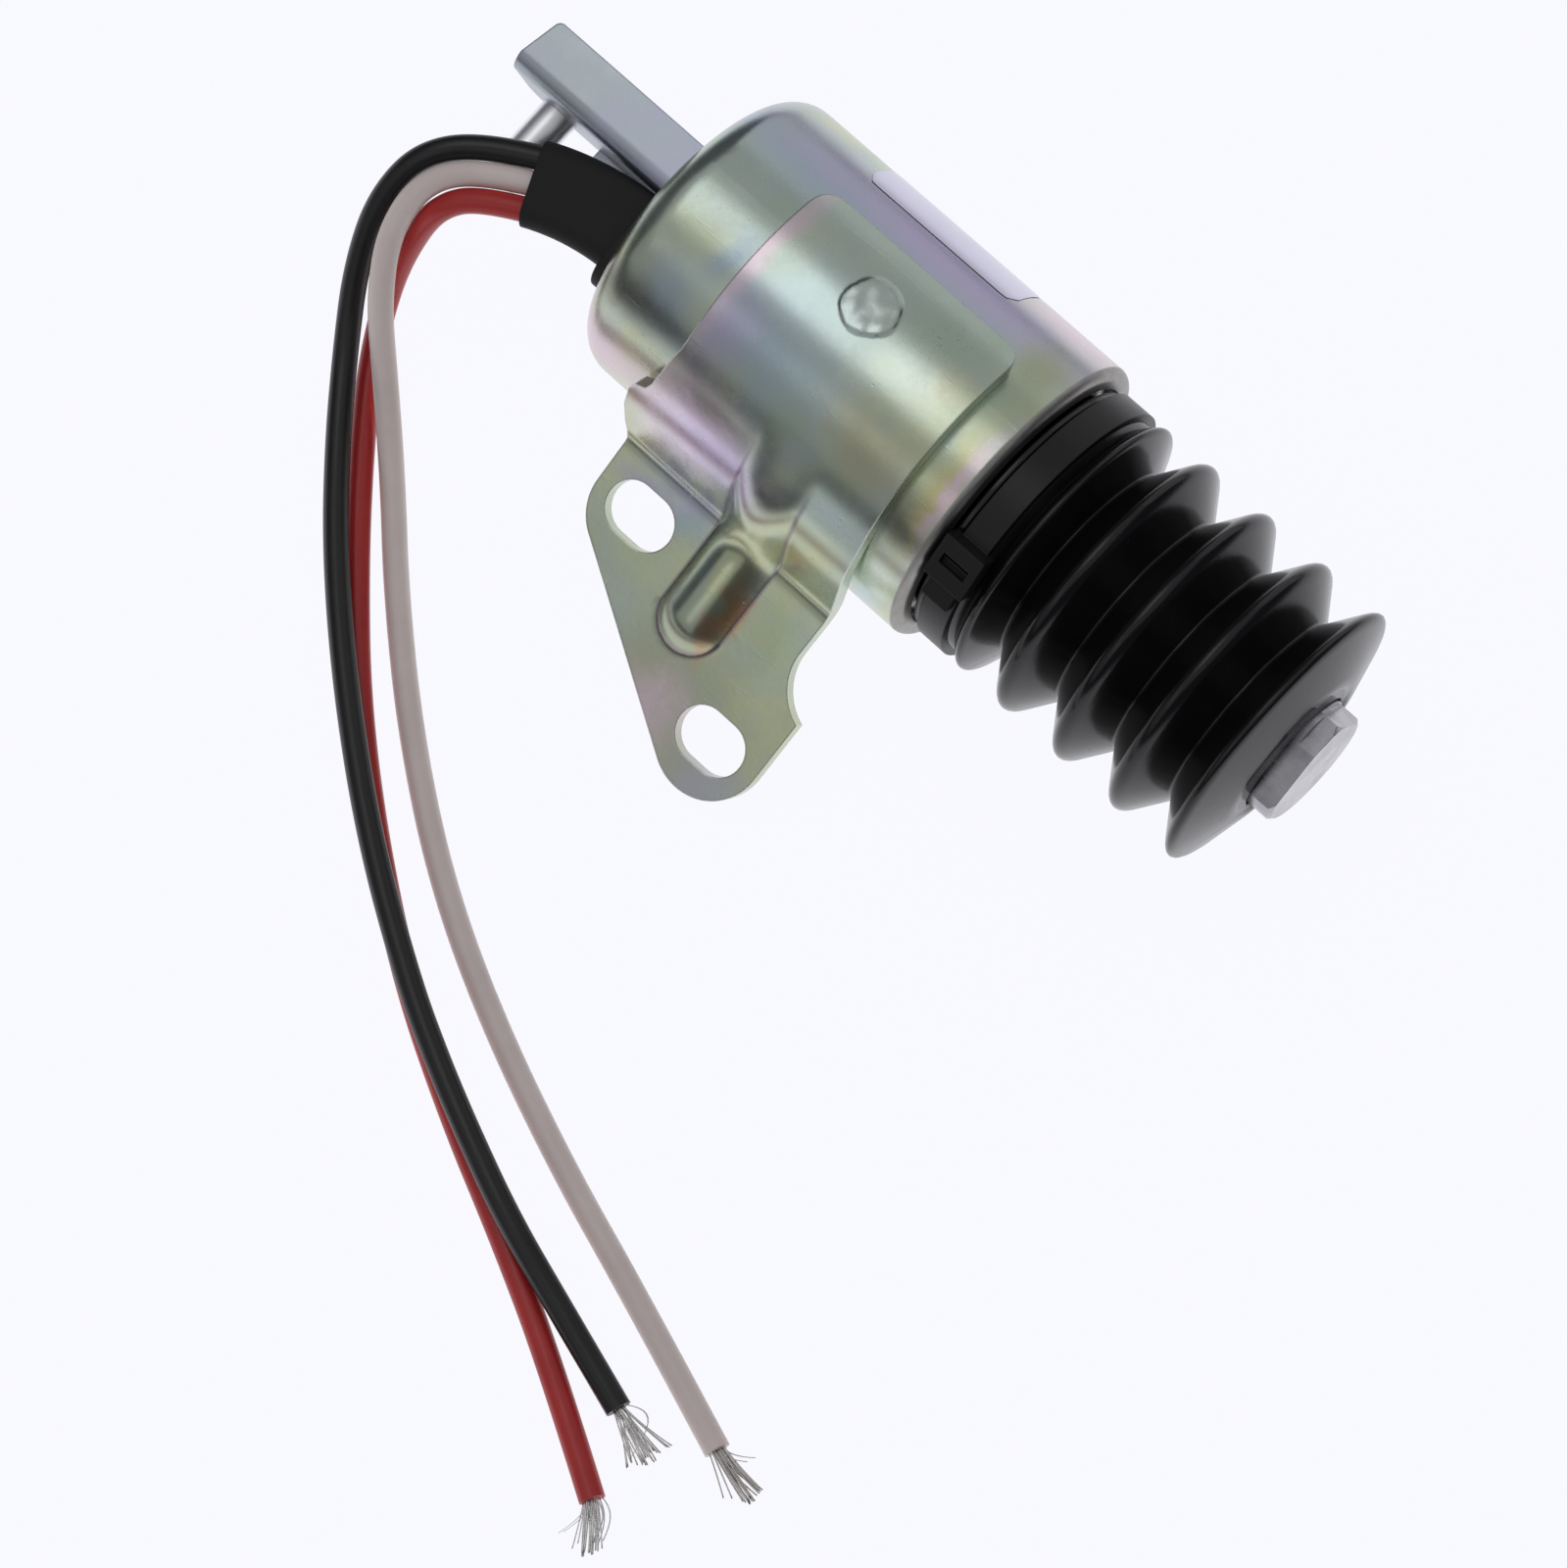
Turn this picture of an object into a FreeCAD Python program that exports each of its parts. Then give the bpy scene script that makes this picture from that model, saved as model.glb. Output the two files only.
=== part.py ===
import FreeCAD, Part
import math
import os
import re

import Sketcher
from FreeCAD import Placement, Rotation, Vector

# Fuel shutoff solenoid: a pull solenoid in a drawn steel can, with a folded mounting
# bracket, a bellows boot over the plunger, a rear arm with a stud, and three leads.
# +X runs along the can's axis to the plunger, +Z is up and the mounting flange points to -Y.
# The origin lies on the surface that the part rests on, below the middle of the part.

SIZES = [
    # Place of the can's axis in the part's own frame
    ("rim_x", "15.2", "can's front rim from the origin"),
    ("axis_y", "13.14", "can's axis from the origin"),
    ("view_angle", "15.7", "turn about the axis from straight up to the side the pieces face"),
    # Can
    ("can_diameter", "38.1", "outside"),
    ("can_length", "50", "outside"),
    ("can_wall", "1.6", "sheet of the can"),
    ("can_corner", "4.2", "outside radius of the rear corner"),
    ("rim_lip", "1.3", "thickness of the rolled front lip"),
    ("rim_fold", "2.25", "rolled lip, in from the can's outside"),
    ("rim_round", "1.1", "outside radius of the front edge"),
    ("slip", "0.1", "clearance of pieces that slip into each other"),
    # Pole plates, core and coil
    ("plate_thickness", "3", "front and rear pole plates"),
    ("collar_step", "4.05", "side of the boot's collar, in from the can's outside"),
    ("collar_show", "0.3", "collar's front face beyond the boot's neck"),
    ("plunger_diameter", "14.8", "turned plunger"),
    ("tube_clearance", "0.12", "radial, plunger in the guide tube"),
    ("tube_wall", "0.6", "guide tube"),
    ("potting_depth", "4", "resin behind the rear plate"),
    ("core_length", "12", "fixed core, front of the rear plate"),
    ("neck_step", "1.4", "core's riveted neck, in from the core's side"),
    ("cone_depth", "3", "cone of the core and of the plunger's rear end"),
    ("cone_step", "3.4", "tip of that cone, in from the plunger's side"),
    ("bobbin_wall", "1", "spool and flanges"),
    ("coil_gap", "2.03", "can's bore to the tape"),
    ("pull_share", "0.55", "pull winding's share of both windings' build"),
    ("wrap_thickness", "0.4", "tape over the windings"),
    # Plunger
    ("stroke", "14", "travel of the plunger"),
    ("pole_gap", "0.6", "core to plunger cone, plunger in"),
    ("plunger_show", "3", "plunger's front face beyond the boot"),
    ("flat_angle", "24", "large milled flat, from the facing side"),
    ("flat_depth", "1.8", "large milled flat"),
    ("side_angle", "-8", "second flat"),
    ("side_depth", "1", "second flat"),
    ("side_step", "1.2", "second flat's step along the end"),
    ("facet_angle", "-69", "small facet"),
    ("facet_depth", "0.9", "small facet"),
    ("facet_step", "0.6", "small facet's step along the end"),
    ("end_chamfer", "0.5", "front edge of the plunger"),
    # Return spring with its seat and ring
    ("spring_wire", "1.3", "wire"),
    ("spring_gap", "1.25", "plunger to the wire"),
    ("spring_turns", "8", "turns"),
    ("seat_back", "3.4", "spring seat's rear face behind the boot's front lip"),
    ("seat_thickness", "1", "seat washer"),
    ("seat_rim", "3.1", "seat washer beyond the plunger"),
    ("ring_thickness", "0.8", "retaining ring"),
    ("ring_rim", "1.4", "retaining ring beyond the plunger"),
    ("groove_depth", "0.7", "groove for the retaining ring"),
    # Boot and its tie
    ("boot_wall", "1.2", "rubber"),
    ("boot_gap", "0.3", "neck from the rim"),
    ("neck_margin", "0.7", "neck beyond the tie"),
    ("first_rise", "1.8", "neck to the small first fold's top, along the axis"),
    ("first_fall", "2.3", "first fold's top to the first valley, along the axis"),
    ("last_slope", "2.445", "last fold's top to the front lip, along the axis"),
    ("fold_rise", "1.6", "top of a fold over the neck"),
    ("fold_fall", "3.6", "bottom of a fold under the neck"),
    ("fold_round", "0.55", "radius on the folds' edges"),
    ("boot_end", "41.4", "front lip beyond the rim"),
    ("lip_rim", "2.5", "front lip beyond the plunger"),
    ("lip_gap", "0.3", "front lip to plunger"),
    ("tie_start", "1.4", "tie beyond the rim"),
    ("tie_width", "3.6", "band"),
    ("tie_thickness", "1.1", "band"),
    ("tie_angle", "33", "lock head, from the facing side"),
    ("tie_head", "5.4", "lock head, square"),
    ("tie_head_height", "3", "lock head"),
    ("tie_slot", "1.4", "width of the slot in the lock head"),
    ("tie_slot_floor", "0.2", "slot's floor over the band"),
    ("tie_tail", "2.6", "cut tail beyond the lock head"),
    # Mounting bracket
    ("sheet_thickness", "2", "bracket sheet"),
    ("saddle_rear", "-35.4", "rear edge of the saddle from the rim"),
    ("saddle_front", "-6.3", "front edge of the saddle from the rim"),
    ("saddle_start_angle", "-17.3", "saddle's free end, angle from the top"),
    ("saddle_leave_angle", "57.7", "angle where the sheet leaves the can"),
    ("saddle_corner", "3.6", "corner radius of the free end"),
    ("ridge_run", "6.4", "straight run from the can to the ridge"),
    ("web_angle", "78", "slope of the web below the ridge"),
    ("web_run", "8.5", "ridge to fold"),
    ("flange_angle", "33.2", "slope of the flange"),
    ("ridge_round", "4", "outside radius of the ridge"),
    ("fold_corner", "0.6", "inside radius of the fold"),
    ("slot_width", "6.5", "bolt slots"),
    ("slot_length", "9", "bolt slots, end to end"),
    ("rear_slot_x", "-30.6", "rear slot from the rim"),
    ("rear_slot_reach", "6.1", "rear slot from the fold"),
    ("front_slot_x", "-8.3", "front slot from the rim"),
    ("front_slot_reach", "20", "front slot from the fold"),
    ("rear_lobe", "6.5", "edge radius round the rear slot"),
    ("front_lobe", "6.7", "edge radius round the front slot"),
    ("notch_x", "0.45", "centre of the front notch from the rim"),
    ("notch_reach", "5.5", "centre of the front notch from the fold"),
    ("notch_radius", "6.8", "front notch"),
    ("rib_x", "-18.5", "rib's middle from the rim"),
    ("rib_width", "8.6", "outside"),
    ("rib_height", "2.2", "over the flange"),
    ("rib_start_angle", "47.7", "angle where the rib leaves the saddle"),
    ("rib_run", "11", "rib's run from the saddle to its crest"),
    ("rib_end", "15", "end of the rib from the fold"),
    ("rib_lead", "0.6", "rib's bend beyond the fold"),
    ("rib_top_round", "1.6", "radius along the rib's top edges"),
    ("weld_x", "-21.8", "weld mark from the rim"),
    ("weld_angle", "3.7", "weld mark from the top"),
    ("weld_diameter", "6.7", "weld mark"),
    ("weld_height", "0.3", "weld mark over the sheet"),
    # Rear arm and stud
    ("arm_sheet", "1.8", "arm sheet"),
    ("arm_reach", "-74.8", "end of the arm from the rim"),
    ("arm_side", "0.8", "web's outer face from the axis plane"),
    ("arm_width", "7.2", "leg that faces the viewer, with the sheet"),
    ("arm_top", "10", "facing leg's outer face from the axis"),
    ("arm_depth", "13", "web, with the sheet"),
    ("arm_bend_radius", "2.2", "outside radius of the bend"),
    ("arm_slant", "1.1", "slant of the facing leg's end"),
    ("foot_start", "-64", "rear edge of the foot from the rim"),
    ("foot_width", "7.2", "foot beyond the web"),
    ("stud_x", "-69.6", "stud from the rim"),
    ("stud_height", "1", "stud's axis from the can's axis"),
    ("stud_diameter", "4.76", "stud"),
    ("stud_length", "10.5", "stud beyond the web"),
    ("tenon_step", "0.5", "riveted tenon through the web, in from the stud's side"),
    ("stud_head", "7.4", "riveted head"),
    ("stud_head_height", "1.2", "riveted head"),
    # Leads, grommet and sleeve
    ("lead_diameter", "2.95", "insulated lead"),
    ("lead_pitch", "3.05", "leads side by side in the sleeve"),
    ("exit_side", "6", "lead exit from the axis plane"),
    ("exit_height", "7.6", "lead exit from the axis"),
    ("sleeve_wall", "0.45", "sleeve"),
    ("sleeve_gap", "0.12", "sleeve to lead"),
    ("sleeve_bend_radius", "33.7", "bend radius of the sleeve"),
    ("sleeve_turn_angle", "24.4", "bend angle of the sleeve"),
    ("grommet_wall", "0.9", "grommet round the sleeve"),
    ("grommet_lip", "1.1", "grommet lip, over the hole and its thickness"),
    ("lead_inset", "3", "start of a lead inside the sleeve"),
    ("lead_straight", "5", "straight part of a lead beyond the sleeve"),
    ("strand_length", "6", "bare strands"),
    ("strand_start", "2", "strand bundle at the insulation"),
    ("strand_end", "2.8", "frayed strand bundle"),
    # Worked out from the sizes above
    ("can_radius", "=can_diameter / 2", ""),
    ("bore_radius", "=can_radius - can_wall", ""),
    ("opening_radius", "=can_radius - rim_fold", ""),
    ("spigot_radius", "=can_radius - collar_step", "collar that the boot grips"),
    ("neck_radius", "=spigot_radius + boot_wall", "boot's neck"),
    ("peak_radius", "=neck_radius + fold_rise", ""),
    ("valley_radius", "=neck_radius - fold_fall", ""),
    ("neck_end", "=tie_start + tie_width + neck_margin", ""),
    ("spigot_reach", "=neck_end + collar_show", ""),
    ("first_peak", "=neck_end + first_rise", ""),
    ("first_valley", "=first_peak + first_fall", ""),
    ("fold_pitch", "=(boot_end - last_slope - first_valley) / 3.5", ""),
    ("plate_front", "=-rim_lip", ""),
    ("plate_rear", "=plate_front - plate_thickness", ""),
    ("plunger_radius", "=plunger_diameter / 2", ""),
    ("tube_bore", "=plunger_radius + tube_clearance", ""),
    ("tube_radius", "=tube_bore + tube_wall", ""),
    ("rear_wall", "=can_wall - can_length", "inside face of the can's rear wall"),
    ("rear_plate_back", "=rear_wall + potting_depth", ""),
    ("rear_plate_front", "=rear_plate_back + plate_thickness", ""),
    ("core_front", "=rear_plate_front + core_length", ""),
    ("bobbin_bore", "=tube_radius + slip", ""),
    ("spool_radius", "=bobbin_bore + bobbin_wall", ""),
    ("hold_radius", "=bore_radius - coil_gap - wrap_thickness", ""),
    ("pull_radius", "=spool_radius + pull_share * (hold_radius - spool_radius)", ""),
    ("neck_of_core", "=plunger_radius - neck_step", ""),
    ("cone_tip", "=plunger_radius - cone_step", ""),
    ("plunger_reach", "=boot_end + plunger_show", ""),
    ("end_block", "=plunger_show + boot_wall / 3", "length of the milled end"),
    ("seat_place", "=boot_end - seat_back", ""),
    ("seat_radius", "=plunger_radius + seat_rim", ""),
    ("ring_radius", "=plunger_radius + ring_rim", ""),
    ("spring_radius", "=plunger_radius + spring_gap + spring_wire / 2", "mean"),
    ("lip_radius", "=plunger_radius + lip_rim", ""),
    ("air_gap", "=stroke + pole_gap", "core to plunger cone, plunger out"),
    ("plunger_rear", "=core_front - cone_depth + air_gap", "tip of the plunger's cone"),
    ("outer_radius", "=can_radius + sheet_thickness", "outside of the saddle"),
    ("ridge_turn", "=web_angle - saddle_leave_angle", ""),
    ("fold_turn", "=web_angle - flange_angle", ""),
    ("ridge_inner_run", "=ridge_run - sheet_thickness * tan(ridge_turn / 2)", ""),
    ("web_inner_run", "=web_run - sheet_thickness * (tan(ridge_turn / 2) - tan(fold_turn / 2))", ""),
    ("leave_out", "=outer_radius * sin(saddle_leave_angle)", ""),
    ("leave_up", "=outer_radius * cos(saddle_leave_angle)", ""),
    ("inner_leave_out", "=can_radius * sin(saddle_leave_angle)", ""),
    ("inner_leave_up", "=can_radius * cos(saddle_leave_angle)", ""),
    ("ridge_out", "=leave_out + ridge_run * cos(saddle_leave_angle)", ""),
    ("ridge_up", "=leave_up - ridge_run * sin(saddle_leave_angle)", ""),
    ("inner_ridge_out", "=inner_leave_out + ridge_inner_run * cos(saddle_leave_angle)", ""),
    ("inner_ridge_up", "=inner_leave_up - ridge_inner_run * sin(saddle_leave_angle)", ""),
    ("fold_out", "=ridge_out + web_run * cos(web_angle)", ""),
    ("fold_up", "=ridge_up - web_run * sin(web_angle)", ""),
    ("inner_fold_out", "=inner_ridge_out + web_inner_run * cos(web_angle)", ""),
    ("inner_fold_up", "=inner_ridge_up - web_inner_run * sin(web_angle)", ""),
    ("flange_run_out", "=cos(flange_angle)", "unit step along the flange"),
    ("flange_run_up", "=-sin(flange_angle)", "unit step along the flange"),
    ("crest_out", "=outer_radius * sin(rib_start_angle) + rib_run * cos(rib_start_angle)", ""),
    ("crest_up", "=outer_radius * cos(rib_start_angle) - rib_run * sin(rib_start_angle)", ""),
    ("crest_fold_out", "=fold_out + rib_height * sin(flange_angle) + rib_lead * flange_run_out", ""),
    ("crest_fold_up", "=fold_up + rib_height * cos(flange_angle) + rib_lead * flange_run_up", ""),
    ("crest_end_out", "=fold_out + rib_height * sin(flange_angle) + rib_end * flange_run_out", ""),
    ("crest_end_up", "=fold_up + rib_height * cos(flange_angle) + rib_end * flange_run_up", ""),
    ("web_bottom", "=arm_top - arm_depth", ""),
    ("sleeve_across", "=2 * lead_pitch + lead_diameter + 2 * (sleeve_wall + sleeve_gap)", ""),
    ("sleeve_thick", "=lead_diameter + 2 * (sleeve_wall + sleeve_gap)", ""),
]

doc = FreeCAD.newDocument("fuel_shutoff_solenoid")
sheet = doc.addObject("Spreadsheet::Sheet", "sizes")
for row, (alias, value, note) in enumerate(SIZES, start=1):
    sheet.set(f"A{row}", alias)
    sheet.set(f"B{row}", value)
    sheet.set(f"C{row}", note)
    sheet.setAlias(f"B{row}", alias)
doc.recompute()

ALIASES = {alias for alias, _, _ in SIZES}
subparts = []


def bound(formula):
    """Write a formula of sheet names the way another object reads it."""
    return re.sub(r"[a-z_]+", lambda word: "sizes." + word[0] if word[0] in ALIASES else word[0],
                  str(formula))


def size(formula):
    """Number that a formula of sheet names gives now."""
    return float(sheet.evalExpression(bound(formula)))


def bind(thing, prop, formula):
    thing.setExpression(prop, bound(formula))


def place(thing, x="0", y="0", z="0", turn="0"):
    """Place a piece by its own frame on the can's axis, turned about that axis."""
    thing.Placement = Placement(Vector(0, 0, 0), Rotation(Vector(1, 0, 0), 1))
    bind(thing, "Placement.Base.x", f"rim_x + {x}")
    bind(thing, "Placement.Base.y", f"axis_y + {y}")
    bind(thing, "Placement.Base.z", f"can_radius + {z}")
    bind(thing, "Placement.Rotation.Angle", turn)


def keep(thing, label):
    """Name a finished sub-part."""
    thing.Label = label
    subparts.append(thing)
    return thing


def plane_of(body, role):
    """One of a body's own origin planes."""
    return next(f for f in body.Origin.OriginFeatures if f.Role == role)


def sketch_in(body, role, shift="0"):
    """New sketch in a body on one of its own planes, moved along the plane's normal."""
    sketch = body.newObject("Sketcher::SketchObject", body.Name + "_sketch")
    sketch.AttachmentSupport = [(plane_of(body, role), "")]
    sketch.MapMode = "FlatFace"
    bind(sketch, "AttachmentOffset.Base.z", shift)
    return sketch


def tie_point(sketch, index, end, x, y):
    """Hold a point of the sketch at two formulas measured from the sketch's origin."""
    for kind, formula in (("DistanceX", x), ("DistanceY", y)):
        number = sketch.addConstraint(Sketcher.Constraint(kind, -1, 1, index, end, size(formula)))
        bind(sketch, f"Constraints[{number}]", formula)


def outline(sketch, corners):
    """Closed outline of straight lines through corners given as pairs of formulas."""
    points = [Vector(size(x), size(y), 0) for x, y in corners]
    count = len(points)
    first = sketch.GeometryCount
    for i in range(count):
        sketch.addGeometry(Part.LineSegment(points[i], points[(i + 1) % count]), False)
    for i in range(count):
        sketch.addConstraint(
            Sketcher.Constraint("Coincident", first + i, 2, first + (i + 1) % count, 1))
        tie_point(sketch, first + i, 1, *corners[i])


def slot_outline(sketch, x, y, length, width, upright=False):
    """Slot with round ends, its length along the sketch's x or, upright, along its y."""
    half = f"(({length}) - ({width})) / 2"
    radius = f"({width}) / 2"
    along = size(half)
    middle = Vector(size(x), size(y), 0)
    step = Vector(0, along, 0) if upright else Vector(along, 0, 0)
    side = Vector(size(radius), 0, 0) if upright else Vector(0, -size(radius), 0)
    quarter = math.pi / 2
    turn = quarter if upright else 0
    first = sketch.addGeometry(Part.LineSegment(middle - step + side, middle + step + side), False)
    near = sketch.addGeometry(Part.ArcOfCircle(Part.Circle(middle + step, Vector(0, 0, 1),
                              size(radius)), turn - quarter, turn + quarter), False)
    second = sketch.addGeometry(Part.LineSegment(middle + step - side, middle - step - side), False)
    far = sketch.addGeometry(Part.ArcOfCircle(Part.Circle(middle - step, Vector(0, 0, 1),
                             size(radius)), turn + quarter, turn + 3 * quarter), False)
    for a, a_end, b, b_end in ((first, 2, near, 1), (near, 2, second, 1),
                               (second, 2, far, 1), (far, 2, first, 1)):
        sketch.addConstraint(Sketcher.Constraint("Tangent", a, a_end, b, b_end))
    number = sketch.addConstraint(Sketcher.Constraint("Radius", near, size(radius)))
    bind(sketch, f"Constraints[{number}]", radius)
    if upright:
        tie_point(sketch, near, 3, x, f"({y}) + {half}")
        tie_point(sketch, far, 3, x, f"({y}) - {half}")
    else:
        tie_point(sketch, near, 3, f"({x}) + {half}", y)
        tie_point(sketch, far, 3, f"({x}) - {half}", y)


def pad(body, sketch, length, both_ways=False):
    feature = body.newObject("PartDesign::Pad", body.Name + "_pad")
    feature.Profile = sketch
    bind(feature, "Length", length)
    feature.SideType = "Symmetric" if both_ways else "One side"
    return feature


def pocket(body, sketch, length):
    """Cut both ways from the sketch, and check that something was cut."""
    doc.recompute()
    before = body.Shape.Volume
    feature = body.newObject("PartDesign::Pocket", body.Name + "_pocket")
    feature.Profile = sketch
    bind(feature, "Length", length)
    feature.SideType = "Symmetric"
    doc.recompute()
    if body.Shape.Volume >= before:
        raise RuntimeError(f"{body.Name}: the pocket cut nothing")
    return feature


def turned(name, corners):
    """Body turned about the can's axis from an outline of (along, radius) corners."""
    body = doc.addObject("PartDesign::Body", name)
    sketch = sketch_in(body, "XZ_Plane")
    outline(sketch, corners)
    turn = body.newObject("PartDesign::Revolution", name + "_turn")
    turn.Profile = sketch
    turn.ReferenceAxis = (sketch, ["H_Axis"])
    turn.Angle = 360
    place(body)
    return body


def ring(name, rear, front, inner, outer):
    """Plain turned ring between two places along the axis."""
    return turned(name, [(rear, inner), (front, inner), (front, outer), (rear, outer)])


def edges_where(body, test):
    """Names of the edges of the body's last shape that pass a test."""
    doc.recompute()
    shape = body.Tip.Shape
    return [f"Edge{i}" for i, edge in enumerate(shape.Edges, start=1) if test(edge)]


def circle_at(edge, x, radius):
    """True for a full turned edge at a place along the axis with a radius."""
    curve = edge.Curve
    return (isinstance(curve, Part.Circle) and abs(curve.Center.x - x) < 1e-4
            and abs(curve.Radius - radius) < 1e-4)


def line_through(edge, direction, *at):
    """True for a straight edge along a direction, whose middle has the named coordinates."""
    if not isinstance(edge.Curve, Part.Line) or len(edge.Vertexes) < 2:
        return False
    run = edge.Vertexes[1].Point - edge.Vertexes[0].Point
    if run.Length < 1e-6 or run.normalize().cross(direction).Length > 1e-3:
        return False
    middle = edge.valueAt((edge.FirstParameter + edge.LastParameter) / 2)
    return all(abs(getattr(middle, name) - value) < 1e-3 for name, value in at)


def middle_of(face):
    """Parameters at the middle of a face."""
    u_low, u_high, v_low, v_high = face.ParameterRange
    return (u_low + u_high) / 2, (v_low + v_high) / 2


def round_rings(body, places, amount, kind="Fillet"):
    """Soften the turned edges at (along, radius) places."""
    spots = [(size(x), size(radius)) for x, radius in places]
    names = edges_where(body, lambda e: any(circle_at(e, x, radius) for x, radius in spots))
    base = body.Tip
    feature = body.newObject("PartDesign::" + kind, body.Name + "_" + kind.lower())
    feature.Base = (base, names)
    bind(feature, "Radius" if kind == "Fillet" else "Size", amount)
    doc.recompute()
    return feature


def round_lines(body, direction, places, amount):
    """Round the straight edges along a direction whose middles lie at the places."""
    names = edges_where(body, lambda e: any(line_through(e, direction, *at) for at in places))
    if not names:
        raise RuntimeError(f"{body.Name}: no straight edges found")
    base = body.Tip
    feature = body.newObject("PartDesign::Fillet", body.Name + "_fillet")
    feature.Base = (base, names)
    bind(feature, "Radius", amount)
    doc.recompute()
    return feature


def joined(name, pieces):
    """Fuse placed pieces."""
    fuse = doc.addObject("Part::MultiFuse", name)
    fuse.Shapes = pieces
    fuse.Refine = True
    return fuse


def cut(name, base, tool):
    """Cut one placed piece from another."""
    result = doc.addObject("Part::Cut", name)
    result.Base = base
    result.Tool = tool
    result.Refine = True
    return result


def exit_prism(name, grow, rear, front):
    """Stadium prism along the axis at the lead exit, to bore the pieces that the leads pass."""
    body = doc.addObject("PartDesign::Body", name)
    sketch = sketch_in(body, "YZ_Plane", rear)
    slot_outline(sketch, "-exit_side", "exit_height", f"sleeve_across + 2 * ({grow})",
                 f"sleeve_thick + 2 * ({grow})")
    pad(body, sketch, f"({front}) - ({rear})")
    place(body, turn="view_angle")
    return body


def rounded_wire(points):
    """Wire of straight runs joined by tangent arcs, with the least arc radius found."""
    edges = []
    start = points[0]
    tightest = 1e9
    for before, corner, after in zip(points, points[1:], points[2:]):
        back, ahead = before - corner, after - corner
        trim = 0.45 * min(back.Length, ahead.Length)
        half = (math.pi - back.getAngle(ahead)) / 2
        radius = trim / math.tan(half)
        tightest = min(tightest, radius)
        first = corner + back.normalize() * trim
        last = corner + ahead.normalize() * trim
        towards = (back + ahead).normalize()
        middle = corner + towards * (radius / math.cos(half) - radius)
        edges.append(Part.LineSegment(start, first).toShape())
        edges.append(Part.Arc(first, middle, last).toShape())
        start = last
    edges.append(Part.LineSegment(start, points[-1]).toShape())
    return Part.Wire(edges), tightest


def make_can():
    """Drawn cup with a rolled front lip and a hole for the grommet in its rear wall."""
    shell = turned("can_shell", [
        ("-can_length", "0"), ("-can_length", "can_radius"), ("0", "can_radius"),
        ("0", "opening_radius"), ("-rim_lip", "opening_radius"), ("-rim_lip", "bore_radius"),
        ("rear_wall", "bore_radius"), ("rear_wall", "0")])
    round_rings(shell, [("-can_length", "can_radius")], "can_corner")
    round_rings(shell, [("rear_wall", "bore_radius")], "can_corner - can_wall")
    round_rings(shell, [("0", "can_radius")], "rim_round")
    hole = exit_prism("exit_hole", "grommet_wall", "-can_length - 1", "rear_wall + 1")
    keep(cut("can_bored", shell, hole), "can")


def make_plates():
    """Front pole plate with the boot's collar, rear plate and potting resin."""
    plate = turned("front_plate", [
        ("plate_rear", "tube_radius + slip / 2"), ("spigot_reach", "tube_radius + slip / 2"),
        ("spigot_reach", "spigot_radius"), ("plate_front", "spigot_radius"),
        ("plate_front", "bore_radius - slip / 2"), ("plate_rear", "bore_radius - slip / 2")])
    keep(plate, "front_pole_plate")
    rear = ring("rear_disc", "rear_plate_back", "rear_plate_front", "neck_of_core + slip / 2",
                "bore_radius - slip / 2")
    keep(rear, "rear_plate")
    resin = turned("resin", [
        ("rear_wall", "0"), ("rear_wall", "bore_radius - can_corner + can_wall"),
        ("rear_wall + can_corner - can_wall", "bore_radius"), ("rear_plate_back", "bore_radius"),
        ("rear_plate_back", "0")])
    pocket_in_resin = exit_prism("resin_pocket", "grommet_wall + slip / 4", "rear_wall - 1",
                                 "rear_wall + 2 * can_wall + slip / 4")
    keep(cut("resin_bored", resin, pocket_in_resin), "potting")


def make_core_and_tube():
    """Fixed core with its cone seat, and the guide tube that the plunger slides in."""
    core = turned("core", [
        ("rear_plate_back", "0"), ("rear_plate_back", "neck_of_core"),
        ("rear_plate_front", "neck_of_core"), ("rear_plate_front", "plunger_radius"),
        ("core_front", "plunger_radius"), ("core_front - cone_depth", "cone_tip"),
        ("core_front - cone_depth", "0")])
    keep(core, "fixed_core")
    keep(ring("tube", "rear_plate_front", "spigot_reach", "tube_bore", "tube_radius"), "guide_tube")


def make_coil():
    """Bobbin with its pull winding, hold winding and tape."""
    rear = "rear_plate_front + slip"
    front = "plate_rear - slip"
    spool = turned("spool", [
        (rear, "bobbin_bore"), (front, "bobbin_bore"), (front, "bore_radius - slip"),
        (f"{front} - bobbin_wall", "bore_radius - slip"), (f"{front} - bobbin_wall", "spool_radius"),
        (f"{rear} + bobbin_wall", "spool_radius"), (f"{rear} + bobbin_wall", "bore_radius - slip"),
        (rear, "bore_radius - slip")])
    keep(spool, "bobbin")
    start = f"{rear} + bobbin_wall"
    end = f"{front} - bobbin_wall"
    keep(ring("pull", start, end, "spool_radius", "pull_radius"), "pull_coil")
    keep(ring("hold", start, end, "pull_radius", "hold_radius"), "hold_coil")
    keep(ring("wrap", start, end, "hold_radius", "hold_radius + wrap_thickness"), "coil_wrap")


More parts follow.
